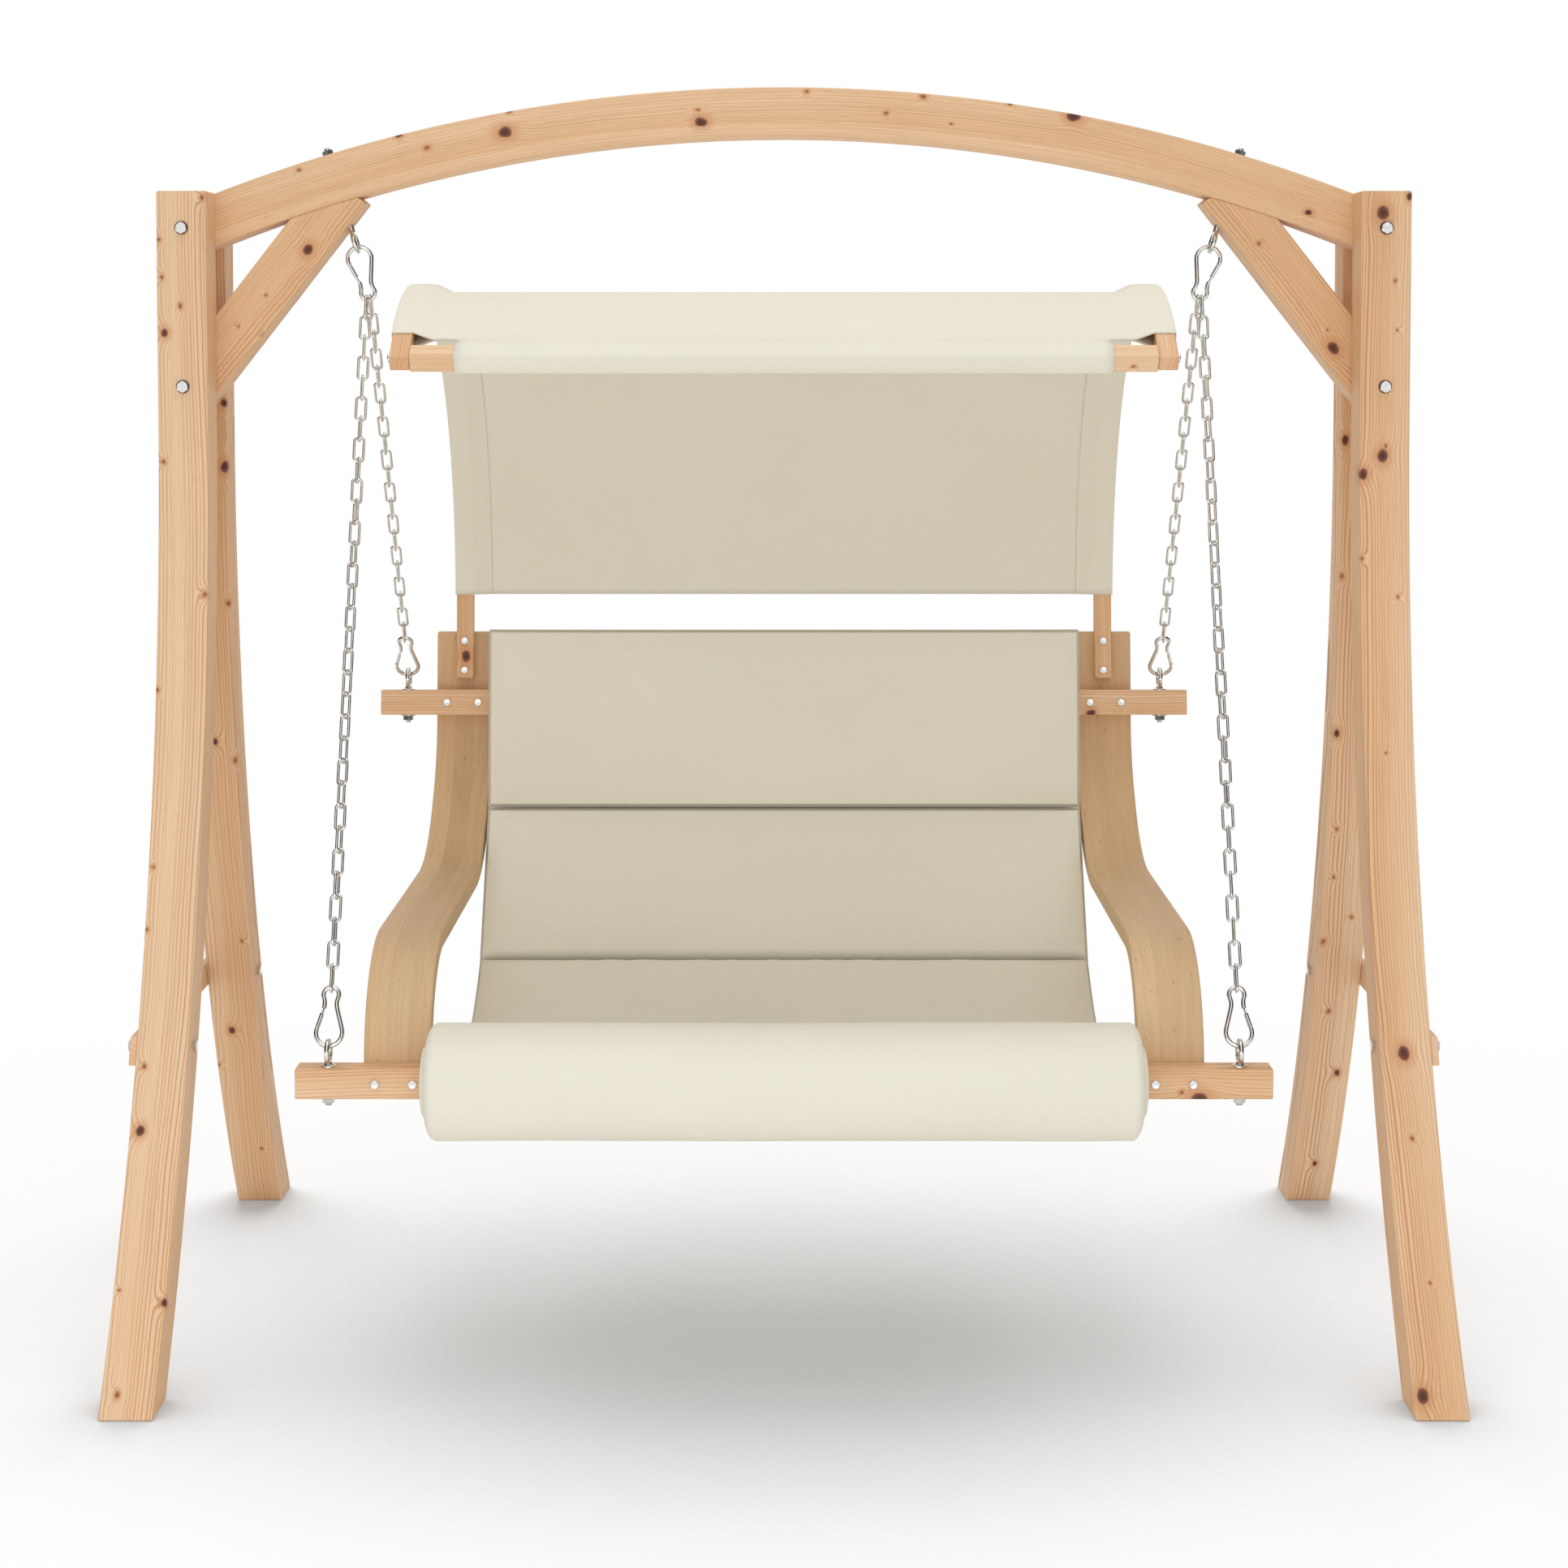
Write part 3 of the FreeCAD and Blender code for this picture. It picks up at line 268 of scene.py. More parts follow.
def eased_section(low, high, ease, steps=ease_steps):
    """Points round a rectangle with round corners."""
    points = []
    for k, (u, v) in enumerate(((1, 1), (0, 1), (0, 0), (1, 0))):
        corner = np.array([(low[0], high[0])[u], (low[1], high[1])[v]])
        centre = corner + ease * np.array([1 - 2 * u, 1 - 2 * v])
        for step in range(steps + 1):
            turn = math.pi / 2 * (k + step / steps)
            points.append(centre + ease * np.array([math.cos(turn), math.sin(turn)]))
    return np.array(points)


def timber_object(name, points, faces, grain):
    """A timber with its grain coordinates, given as places along, across and through it."""
    return weighted_normals(mesh_object(name, points, faces, {"grain": grain}, never_sharp))


def drawn_in(section, ease):
    """A section made smaller by ease all round, for the eased end of a timber."""
    low, high = section.min(0), section.max(0)
    middle, half = (low + high) / 2, (high - low) / 2
    return middle + (section - middle) * (1 - ease / half)


def swept(name, low, high, ease, stations, set_out):
    """A closed timber with a rectangular section at each station, drawn in at both ends. set_out gives the
    point and the grain for a station, a place in the section, and that place from the section's middle."""
    section = eased_section(low, high, ease)
    middle = (section.min(0) + section.max(0)) / 2
    small = drawn_in(section, ease)
    shapes = [small] + [section] * (len(stations) - 2) + [small]
    placed = np.array([[set_out(station, *spot, *(spot - middle)) for spot in shape]
                       for station, shape in zip(stations, shapes)])
    faces = loft_faces(len(stations), len(section))
    return timber_object(name, placed[:, :, 0].reshape(-1, 3), faces, placed[:, :, 1].reshape(-1, 3))


def run_timber(node, run, thickness, ease):
    """A bent timber as wide as its node, to the left of a run in the YZ plane."""
    spots, normals, lengths = run
    low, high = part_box(node)
    ways = np.stack([normals[:, 1], -normals[:, 0]], 1)
    stations = list(zip(spots, normals, lengths))
    stations.insert(1, (spots[0] + ways[0] * ease, normals[0], ease))
    stations.insert(-1, (spots[-1] - ways[-1] * ease, normals[-1], lengths[-1] - ease))

    def set_out(station, x, depth, aside, through):
        spot, normal, length = station
        return (x, *(spot + normal * depth)), (length, aside, through)

    return swept(node + "_timber", (low.x, 0), (high.x, thickness), ease, stations, set_out)


def straight_timber(node, outline, low, high, place, ways, centre):
    """A timber of one outline between two levels, with eased edges. Its place function gives the point
    for an outline's spot and a level; its grain runs along the first of two ways."""
    work = bmesh.new()
    rings = [[work.verts.new(place(spot, level)) for spot in outline] for level in (low, high)]
    work.faces.new(rings[0])
    work.faces.new(rings[1][::-1])
    for k in range(len(outline)):
        nxt = (k + 1) % len(outline)
        work.faces.new((rings[0][k], rings[1][k], rings[1][nxt], rings[0][nxt]))
    bmesh.ops.recalc_face_normals(work, faces=work.faces)
    work.normal_update()
    edges = [e for e in work.edges if e.calc_face_angle() > eased_angle]
    bmesh.ops.bevel(work, geom=edges, offset=timber_ease, segments=ease_steps, profile=0.5, affect="EDGES")
    work.verts.index_update()
    points = np.array([v.co for v in work.verts])
    faces = [tuple(v.index for v in f.verts) for f in work.faces]
    work.free()
    along, across = ways
    relative = points - centre
    grain = np.stack([relative @ along, relative @ across, relative @ np.cross(along, across)], 1)
    return timber_object(node + "_timber", points, faces, grain)


def circle(count):
    """Angles at an even pace round a circle."""
    return [2 * math.pi * k / count for k in range(count)]


class Shape:
    """Points and faces of several closed forms that make one piece."""

    def __init__(self):
        self.points = []
        self.faces = []

    def add_rings(self, rings, closed_run=False):
        first = len(self.points)
        count, around = len(rings), len(rings[0])
        self.points += [tuple(p) for ring in rings for p in ring]
        self.faces += loft_faces(count, around, caps=not closed_run, first=first)
        if closed_run:
            last = first + (count - 1) * around
            for j in range(around):
                nxt = (j + 1) % around
                self.faces.append((last + j, last + nxt, first + nxt, first + j))

    def turned(self, origin, axis, profile, sides=24):
        """A form turned about an axis: profile gives (radius, height) pairs from one end to the other."""
        first, second = side_ways(axis)
        outs = [first * math.cos(t) + second * math.sin(t) for t in circle(sides)]
        self.add_rings([[origin + axis * height + out * radius for out in outs]
                        for radius, height in profile])

    def hexagon(self, origin, axis, flats, height, both=False, per_side=4):
        """A hexagonal head or nut with its chamfered end, or both ends, turned off round."""
        first, second = side_ways(axis)
        chamfer = chamfer_share * flats / 2
        turns = circle(6 * per_side)
        reaches = [flats / 2 / math.cos((t + math.pi / 6) % (math.pi / 3) - math.pi / 6) for t in turns]
        falls = [chamfer_slope * (reach - chamfer) for reach in reaches]
        levels = [(0, 1)] * both + [(0, 0), (1, 0), (1, 1)]
        rings = []
        for end, narrow in levels:
            ring = []
            for t, reach, fall in zip(turns, reaches, falls):
                eased = fall * (1 - narrow) * (end or both)
                level = height - eased if end else eased
                radius = chamfer if narrow else reach
                ring.append(origin + axis * level + (first * math.cos(t) + second * math.sin(t)) * radius)
            rings.append(ring)
        self.add_rings(rings)

    def wire(self, path, normal, radius, closed=False, sides=10, swell=None):
        """Round wire bent in the plane square to normal."""
        path = np.array(path)
        ways = np.roll(path, -1, 0) - np.roll(path, 1, 0) if closed else np.gradient(path, axis=0)
        rings = []
        for spot, way, share in zip(path, ways, swell or [1] * len(path)):
            out = np.cross(unit(way), normal)
            size = radius * share
            rings.append([spot + (out * math.cos(t) + normal * math.sin(t)) * size for t in circle(sides)])
        self.add_rings(rings, closed_run=closed)

    def make(self, name, sharp=sharp_edge):
        return mesh_object(name, self.points, self.faces, sharp=sharp)


def side_ways(axis):
    """Two ways square to an axis and to each other."""
    guide = np.array([1.0, 0, 0]) if abs(axis[0]) < 0.7 else np.array([0, 0, 1.0])
    first = unit(guide - axis * np.dot(guide, axis))
    return first, np.cross(axis, first)


def islands(node):
    """Corner points of each separate solid in a node, always in the same order."""
    work = bmesh.new()
    work.from_mesh(nodes[node].data)
    bmesh.ops.remove_doubles(work, verts=work.verts, dist=1e-6)
    work.verts.index_update()
    found, groups = set(), []
    for first in work.verts:
        group, reached = [], [first]
        while reached:
            vert = reached.pop()
            if vert.index not in found:
                found.add(vert.index)
                group.append(vert.co.copy())
                reached += [edge.other_vert(vert) for edge in vert.link_edges]
        if group:
            groups.append(np.array(group))
    work.free()
    return sorted(groups, key=lambda g: tuple(np.round(g.mean(0), 4)))


def main_ways(points):
    """Middle of an island's extent, and its ways from the longest to the thinnest."""
    _, _, ways = np.linalg.svd(points - points.mean(0), full_matrices=False)
    spans = (points - points.mean(0)) @ ways.T
    return points.mean(0) + ((spans.min(0) + spans.max(0)) / 2) @ ways, ways, spans.max(0) - spans.min(0)


def headed(points):
    """End of an island where it is widest, and its way and length from there to the other end."""
    centre, ways, spans = main_ways(points)
    axis, length = ways[0], spans[0]
    level = (points - centre) @ axis
    spread = np.linalg.norm(points - centre - np.outer(level, axis), axis=1)
    if level[np.argmax(spread)] > 0:
        axis = -axis
    return centre - axis * (length / 2), axis, length, ways[2]


# Material building
class Tree:
    """A material's nodes, added by short calls that give back an output."""

    def __init__(self, name):
        self.material = bpy.data.materials.new(name)
        self.material.use_nodes = True
        self.nodes = self.material.node_tree.nodes
        self.links = self.material.node_tree.links
        self.shader = self.nodes["Principled BSDF"]

    def fill(self, socket, value):
        if isinstance(value, bpy.types.NodeSocket):
            self.links.new(value, socket)
        else:
            socket.default_value = value

    def put(self, kind, inputs, out=0, **settings):
        made = self.nodes.new("ShaderNode" + kind)
        for key, value in settings.items():
            setattr(made, key, value)
        for key, value in inputs.items():
            self.fill(made.inputs[key], value)
        return made.outputs[out]

    def field(self, name):
        """A vector field that the mesh carries."""
        return self.put("Attribute", {}, out=1, attribute_name=name, attribute_type="GEOMETRY")

    def split(self, vector):
        """The three parts of a vector."""
        made = self.nodes.new("ShaderNodeSeparateXYZ")
        self.fill(made.inputs[0], vector)
        return made.outputs

    def even(self, value, kind="CombineXYZ"):
        """A vector or colour with the same value in all three places."""
        return self.put(kind, {0: value, 1: value, 2: value})

    def math(self, operation, *values):
        return self.put("Math", dict(enumerate(values)), operation=operation)

    def times(self, one, two):
        return self.math("MULTIPLY", one, two)

    def vector(self, operation, *values):
        out = 1 if operation == "LENGTH" else 0
        return self.put("VectorMath", dict(enumerate(values)), out=out, operation=operation)

    def noise(self, vector, scale=1.0, detail=2.0, rough=0.5, out=0):
        inputs = {"Vector": vector, "Scale": scale, "Detail": detail, "Roughness": rough}
        return self.put("TexNoise", inputs, out=out)

    def paced_noise(self, place, pace, detail=2.0, rough=0.5, out=0):
        """Noise that is as fine along each axis as its pace says."""
        return self.noise(self.vector("MULTIPLY", place, pace), 1.0, detail, rough, out)

    def shaded(self, tone, value):
        """A tone made lighter or darker."""
        return self.put("HueSaturation", {"Value": value, "Color": tone})

    def bump(self, height, strength, distance):
        return self.put("Bump", {"Strength": strength, "Distance": distance, "Height": height})

    def stretch(self, value, low, high, new_low=0.0, new_high=1.0, kind="SMOOTHSTEP"):
        inputs = {0: value, 1: low, 2: high, 3: new_low, 4: new_high}
        return self.put("MapRange", inputs, interpolation_type=kind)

    def mix(self, factor, one, two, blend="MIX"):
        inputs = {0: factor, 6: colour(one), 7: colour(two)}
        return self.put("Mix", inputs, out=2, data_type="RGBA", blend_type=blend)

    def tinted(self, base, tone, value, *reach):
        """A base tone under another, which shows as a value stretched over a reach says."""
        return self.mix(self.stretch(value, *reach), base, tone)

    def ramp(self, factor, stops):
        made = self.nodes.new("ShaderNodeValToRGB")
        band = made.color_ramp
        while len(band.elements) < len(stops):
            band.elements.new(0.5)
        for element, (place, tone) in zip(band.elements, stops):
            element.position = place
            element.color = (tone, tone, tone, 1)
        self.fill(made.inputs[0], factor)
        return made.outputs[0]

    def finish(self, **sockets):
        for key, value in sockets.items():
            self.fill(self.shader.inputs[key.replace("_", " ").title().replace("Ior", "IOR")], value)
        return self.material


def colour(value):
    return value if isinstance(value, bpy.types.NodeSocket) else (*value, 1)


# Timber tones: two of the pale early wood, the dark late wood, a knot's halo, its bark ring and its core
PINE = ((0.86, 0.61, 0.39), (0.77, 0.47, 0.25), (0.52, 0.215, 0.075), (0.62, 0.27, 0.115),
        (0.060, 0.012, 0.011), (0.170, 0.040, 0.028))
BAND = ((0.69, 0.475, 0.272), (0.62, 0.408, 0.218), (0.48, 0.280, 0.128), (0.36, 0.17, 0.08),
        (0.12, 0.05, 0.03), (0.16, 0.07, 0.04))

# Knots below this size, in millimetres, are pin knots with a soft edge
pin_knot = 4.6

# How far the grain of each glued board lies from the grain of the one before it
lamella_step = (0.7, 0.075, 0.035)
stave_step = (1.9, 0.06, 0.03)

# How much a knot's size counts along, across and through its timber, by the way its branch runs
BRANCHES = {"across": (0.75, 0.35, 1.0), "through": (0.75, 1.0, 0.35), "round": (1.0, 1.0, 1.0)}


def knot_nearness(tree, place, knots, branch):
    """How near a place is to its nearest knot, in knot sizes. A knot is drawn out along its branch."""
    near = None
    for knot in knots:
        *spot, size = (part / 1000 for part in knot)
        spread = tuple(r / size for r in BRANCHES[branch])
        shift = tuple(-k * c for k, c in zip(spread, spot))
        away = tree.vector("LENGTH", tree.vector("MULTIPLY_ADD", place, spread, shift))
        near = away if near is None else tree.math("MINIMUM", near, away)
    return near


def swayed(tree, place, pace, sway):
    """Noise of a given pace as a vector from minus to plus sway."""
    wave = tree.paced_noise(place, pace, out=1)
    return tree.vector("MULTIPLY", tree.vector("SUBTRACT", wave, (0.5, 0.5, 0.5)), sway)


def ring_distance(tree, grain, place, pith, wander):
    """Distance from a pith that wanders along the timber, with small waves in the grain."""
    flat = tree.vector("MULTIPLY_ADD", grain, (0.0, 1.0, 1.0), (0.0, -pith[0], -pith[1]))
    slow = swayed(tree, place, (0.9, 0.0, 0.0), (0.0, wander, wander))
    quick = swayed(tree, place, (3.5, 16.0, 16.0), (0.0, 0.006, 0.006))
    return tree.vector("LENGTH", tree.vector("ADD", tree.vector("ADD", flat, slow), quick))


def early_wood(tree, flow, place, tones):
    """The pale wood between the rings, warmer in some of them."""
    broad = tree.paced_noise(place, (1.6, 9.0, 9.0))
    warm = tree.math("MULTIPLY_ADD", tree.noise(flow, 16.0, 1.0), 0.6, tree.times(broad, 0.4))
    return tree.tinted(tones[0], tones[1], warm, 0.34, 0.66)


def late_wood(tree, flow, radius, ring):
    """Where the dark late wood is, ring by ring, and how much of it shows in each zone and streak."""
    phase = tree.math("MULTIPLY_ADD", radius, 1 / ring, tree.times(tree.noise(flow, 60.0), 3.0))
    stops = ((0.0, 0.0), (0.45, 0.10), (0.80, 0.85), (0.90, 1.0), (1.0, 0.0))
    late = tree.ramp(tree.math("FRACT", phase), stops)
    zone = tree.stretch(tree.noise(flow, 30.0, 1.0), 0.36, 0.64, 0.24, 1.0)
    streak = tree.stretch(tree.noise(flow, 420.0, 1.0), 0.60, 0.72, 0.0, 0.45)
    share = tree.math("MAXIMUM", tree.times(late, zone), tree.times(streak, zone))
    return late, share


def with_knots(tree, wood, tones, near, pin_near):
    """Wood with its knots: a halo, a bark ring, a core, and the soft dots of pin knots."""
    wood = tree.tinted(wood, tones[3], near, 0.8, 2.6, 0.62, 0.0)
    core = tree.tinted(tones[4], tones[5], near, 0.25, 0.62)
    core = tree.tinted(core, tones[4], near, 0.62, 0.80)
    wood = tree.tinted(wood, core, near, 0.62, 1.08, 0.95, 0.0)
    if pin_near is not None:
        wood = tree.tinted(wood, tones[3], pin_near, 0.55, 1.25, 0.8, 0.0)
        wood = tree.tinted(wood, tones[4], pin_near, 0.25, 0.60, 0.7, 0.0)
    return wood


def timber_material(name, tones, pith, ring, lines=0.85, wander=0.05, knots=(), branch="through", seed=0.0,
                    lamella=None, staves=0.0, marks=()):
    """Sawn softwood: growth rings round a pith, fine fibres, and knots that the rings run round. A lamella is
    the height where a second board is glued on, staves the width of boards glued edge to edge, and marks are
    painted shadow rings round bolt heads, darker wood that stands in for the shade where each head sits."""
    tree = Tree(name)
    board = grain = tree.field("grain")
    _, across, through = tree.split(grain)
    if lamella is not None:
        below = tree.math("LESS_THAN", through, lamella)
        board = tree.vector("MULTIPLY_ADD", tree.even(below), lamella_step, grain)
    if staves:
        stave = tree.math("FLOOR", tree.math("ADD", tree.math("DIVIDE", across, staves), 0.5))
        board = tree.vector("MULTIPLY_ADD", tree.even(stave), stave_step, grain)
    place = tree.vector("ADD", board, (3.7 * seed, 1.3 * seed, 0.4 * seed))
    radius = ring_distance(tree, board, place, pith, wander)
    if knots:
        warped = tree.vector("ADD", grain, swayed(tree, place, (60.0, 60.0, 60.0), (0.006, 0.006, 0.006)))
        near = knot_nearness(tree, warped, knots, branch)
        pin_near = knot_nearness(tree, warped, [knot for knot in knots if knot[-1] < pin_knot], branch)
        hump = tree.math("EXPONENT", tree.times(tree.times(near, near), -0.16))
        radius = tree.math("MULTIPLY_ADD", hump, 2.3 * ring, radius)
    flow = tree.put("CombineXYZ", {0: radius, 1: seed})
    late, share = late_wood(tree, flow, radius, ring)
    pale = early_wood(tree, flow, place, tones)
    wood = tree.mix(tree.times(share, lines), pale, tones[2])
    fibre = tree.paced_noise(place, (7.0, 480.0, 480.0), 3.0, 0.6)
    wood = tree.shaded(wood, tree.stretch(fibre, 0.25, 0.75, 0.93, 1.06))
    fleck = tree.paced_noise(place, (30.0, 700.0, 700.0), 1.0)
    wood = tree.tinted(wood, tones[2], fleck, 0.66, 0.76, 0.0, 0.4)
    if staves:
        tint = tree.put("TexWhiteNoise", {"W": tree.math("ADD", stave, seed)}, noise_dimensions="1D")
        wood = tree.shaded(wood, tree.stretch(tint, 0.0, 1.0, 0.95, 1.04))
        dash = tree.paced_noise(place, (55.0, 190.0, 190.0), 1.0)
        wood = tree.tinted(wood, tones[3], dash, 0.71, 0.80, 0.0, 0.6)
    if knots:
        wood = with_knots(tree, wood, tones, near, pin_near)
    # Painted shadow: a dark ring round each bolt head, for the shade where the head sits on the wood
    if marks:
        bolt_shadow_near = knot_nearness(tree, grain, marks, "round")
        wood = tree.tinted(wood, tones[4], bolt_shadow_near, 0.86, 1.0, 0.85, 0.0)
    height = tree.math("MULTIPLY_ADD", late, 0.5, tree.times(fibre, 0.7))
    gloss = tree.stretch(late, 0.0, 1.0, 0.58, 0.48, "LINEAR")
    bump = tree.bump(height, 0.2, 0.0005)
    return tree.finish(base_color=wood, roughness=gloss, normal=bump, specular_ior_level=0.35)


def cloth_material(name, tone, shade, pitch):
    """Plain-woven canvas with slubs, slight unevenness and a soft sheen. Its field gives the place along and
    across the weave, and how deep the place lies on a cushion's rim, where the cloth is painted darker as the
    shade of that recess."""
    tree = Tree(name)
    place = tree.field("cloth")
    depth = tree.split(place)[2]
    waves = tree.vector("SINE", tree.vector("MULTIPLY", place, (2 * math.pi / pitch,) * 3))
    along, across, _ = tree.split(waves)
    weave = tree.times(along, across)
    slubs = tree.math("ADD", tree.paced_noise(place, (60.0, 700.0, 60.0)),
                      tree.paced_noise(place, (700.0, 60.0, 60.0)))
    broad = tree.noise(place, 4.0, 3.0)
    thread = tree.math("MULTIPLY_ADD", weave, 0.12, tree.times(slubs, 0.5))
    blend = tree.math("MULTIPLY_ADD", broad, 0.35, tree.times(thread, 0.65))
    cloth = tree.tinted(shade, tone, blend, 0.25, 0.75)
    # Painted shade: the cloth darkens the deeper it lies on a cushion's rim, standing in for the shade of the
    # recess
    cloth = tree.shaded(cloth, tree.stretch(depth, 0.0, pad_rim_depth, 1.0, pad_rim_painted_shade, "LINEAR"))
    height = tree.math("MULTIPLY_ADD", weave, 0.5, tree.times(thread, 0.8))
    return tree.finish(base_color=cloth, roughness=0.88, normal=tree.bump(height, 0.35, 0.0004),
                       sheen_weight=0.12, sheen_roughness=0.5, specular_ior_level=0.25)


def metal_material(name, tone, roughness, spread):
    """Bright zinc plate with fine handling marks and a faint cloud of dull spots."""
    tree = Tree(name)
    place = tree.put("TexCoord", {}, out=3)
    cloud = tree.noise(place, 160.0, 3.0)
    marks = tree.noise(place, 1400.0, 2.0)
    tint = tree.tinted(tone, tuple(0.86 * part for part in tone), cloud, 0.3, 0.7)
    gloss = tree.math("MULTIPLY_ADD", cloud, spread, roughness)
    return tree.finish(base_color=tint, roughness=gloss, normal=tree.bump(marks, 0.03, 0.0002), metallic=1.0)


def dress(piece, body, slot, material, *replaced):
    """Gives a piece its finish and its body, and hides the solids it stands for."""
    piece.data.materials.append(material)
    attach(piece, body)
    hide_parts(*replaced)
    return piece


def seat_piece(piece, slot, material, node):
    """Dresses a piece of the hanging seat."""
    return dress(piece, "hanging_seat", slot, material, node)


def stand_timber(node, piece, **wood):
    """Dresses a timber of the stand in pine of its own."""
    dress(piece, "stand", "stand_timber", timber_material(node + "_pine", PINE, **wood), node)


def seat_timber(node, piece, kind="_pine", tones=PINE, **wood):
    """Dresses a timber of the seat in wood of its own."""
    seat_piece(piece, "seat_timber", timber_material(node + kind, tones, **wood), node)


# Stand timbers
leg_line_steps = 6
leg_arc_steps = 70
beam_steps = 120


def leg(node, side, back):
    """A leg: straight above, bent outwards below, with a level foot."""
    low_x, high_x = sorted((side * half_width, side * (half_width - leg_width)))
    straight = leg_height - leg_bend_start
    stations = [("line", 0.0), ("line", timber_ease)]
    stations += [("line", straight * k / leg_line_steps) for k in range(1, leg_line_steps)]
    stations += [("arc", k / leg_arc_steps) for k in range(leg_arc_steps)]
    stations += [("arc", 1 - timber_ease / leg_bend_start), ("arc", 1.0)]

    def set_out(station, x, inward, aside, through):
        kind, place = station
        bend = leg_radius + inward
        swing, height, length = 0.0, leg_height - place, place
        if kind == "arc":
            swing = place * math.asin(leg_bend_start / bend)
            height = leg_bend_start - bend * math.sin(swing)
            length = straight + (leg_radius + leg_thickness / 2) * swing
        reach = leg_face_y + leg_radius - bend * math.cos(swing)
        return (x, back * reach, height), (length, side * aside, through)

    return swept(node + "_timber", (low_x, 0), (high_x, leg_thickness), timber_ease, stations, set_out)


def beam(node):
    """The arched beam with upright ends."""
    low, high = (-beam_half_depth, beam_radius - beam_height), (beam_half_depth, beam_radius)
    middle_radius = beam_radius - beam_height / 2
    end_share = timber_ease / half_width
    inner = [2 * k / beam_steps - 1 for k in range(1, beam_steps)]

    def set_out(place, y, reach, _, through):
        swing = place * math.asin(half_width / reach)
        point = (reach * math.sin(swing), y, beam_centre_z + reach * math.cos(swing))
        return point, (swing * middle_radius, y, through)

    stations = [-1, -1 + end_share] + inner + [1 - end_share, 1]
    return swept(node + "_timber", low, high, timber_ease, stations, set_out)


# Knots, each as its place along, across and through its timber from the middle, and its size, in millimetres
LEG_KNOTS = {
    "left_front_leg": (
        (226, 28, -37.5, 6), (183, 2, -37.5, 4), (138, 32, -37.5, 3), (77, 36, -37.5, 3),
        (433, 31, -37.5, 3), (648, -35, -37.5, 4), (11, -34, -37.5, 4), (1502, 24, -37.5, 7),
        (1402, 26, -37.5, 3.5), (1745, 31, -37.5, 2), (1764, -38, -37.5, 5), (1901, 16, -37.5, 4.2),
        (803, 38, -37.5, 3), (1187, 36, -37.5, 2.5), (1088, 32, -37.5, 2.5), (560, 20, 37.5, 7),
        (1120, -15, 37.5, 6), (1640, 10, 37.5, 4.5)),
    "right_front_leg": (
        (35, -6, -37.5, 10.5), (423, -3, -37.5, 9.5), (453, -34, -37.5, 8), (144, 15, -37.5, 3),
        (221, 19, -37.5, 2), (407, 2, -37.5, 3), (591, -36, -37.5, 3), (652, 20, -37.5, 2.6),
        (10, 36, -37.5, 5), (1381, -3, -37.5, 10), (1514, -1, -37.5, 3.5), (1734, 4, -37.5, 2.6),
        (1903, -25, -37.5, 9.5), (905, -5, -37.5, 2), (730, 18, 37.5, 6.5), (1250, -12, 37.5, 5)),
    "left_rear_leg": (
        (445, -37, 37.5, 8), (341, -36, 37.5, 6), (670, -38, 37.5, 4), (907, -5, 37.5, 5),
        (940, -37, 37.5, 4.5), (1465, 7, 37.5, 6.5), (1745, -18, 37.5, 3), (1542, 37, 37.5, 3),
        (1279, -26, 37.5, 3), (260, 12, -37.5, 8), (980, -20, -37.5, 5.5), (1610, 25, -37.5, 7)),
    "right_rear_leg": (
        (402, -34, 37.5, 7), (625, -34, 37.5, 4), (892, -32, 37.5, 6), (1064, -22, 37.5, 2.6),
        (1154, -22, 37.5, 2.6), (1231, 14, 37.5, 3), (1280, -31, 37.5, 4.5), (1424, -10, 37.5, 4),
        (1560, 18, 37.5, 6), (1784, 1, 37.5, 5), (520, -10, -37.5, 8.5), (1330, 22, -37.5, 6)),
}
# Painted shadow rings round the leg bolts' heads, each as its place along, across and through the leg, and
# its size, in millimetres
LEG_BOLT_SHADOWS = ((58.9, 0, -37.5, 11.8), (311.9, 0, -37.5, 11.8))
BEAM_KNOTS = (
    (-452, -37.5, 8.2, 9.5), (-580, -37.5, 9.3, 4), (-439, -37.5, 39, 3), (-788, -37.5, 30.3, 3),
    (-619, -37.5, 40, 5), (-135, -37.5, -12.6, 8), (-139, -37.5, 7.6, 3), (464, -37.5, 36.1, 9),
    (222, -37.5, 34.8, 4), (36, -37.5, 33.1, 3), (360, -37.5, 38.9, 3), (165, -37.5, 3.8, 3),
    (272, -37.5, -4.2, 2), (871, -37.5, -14.1, 5), (-300, 37.5, 15, 8), (410, 37.5, -10, 7),
    (760, 37.5, 22, 4.5))
BRACE_KNOTS = {
    "left_brace": (
        (142, -37.5, 23.8, 8.5), (42, -37.5, 32.3, 2.5), (-26, -37.5, 36.4, 2), (-14, -37.5, -7.7, 3),
        (60, 37.5, 5, 7)),
    "right_brace": (
        (-58, -37.5, -20.5, 9), (-29, -37.5, -31.7, 2), (151, -37.5, -28.8, 3), (90, 37.5, 8, 6)),
}

brace_slope = math.radians(52.0)
brace_end = 0.407
brace_half_width = 0.040
brace_bolt = np.array([half_width - leg_width / 2, 1.49947])
scribed_points = 14
stretcher_inset = 0.006
leg_piths = {"front": (-0.115, 0.035), "rear": (0.075, -0.03)}


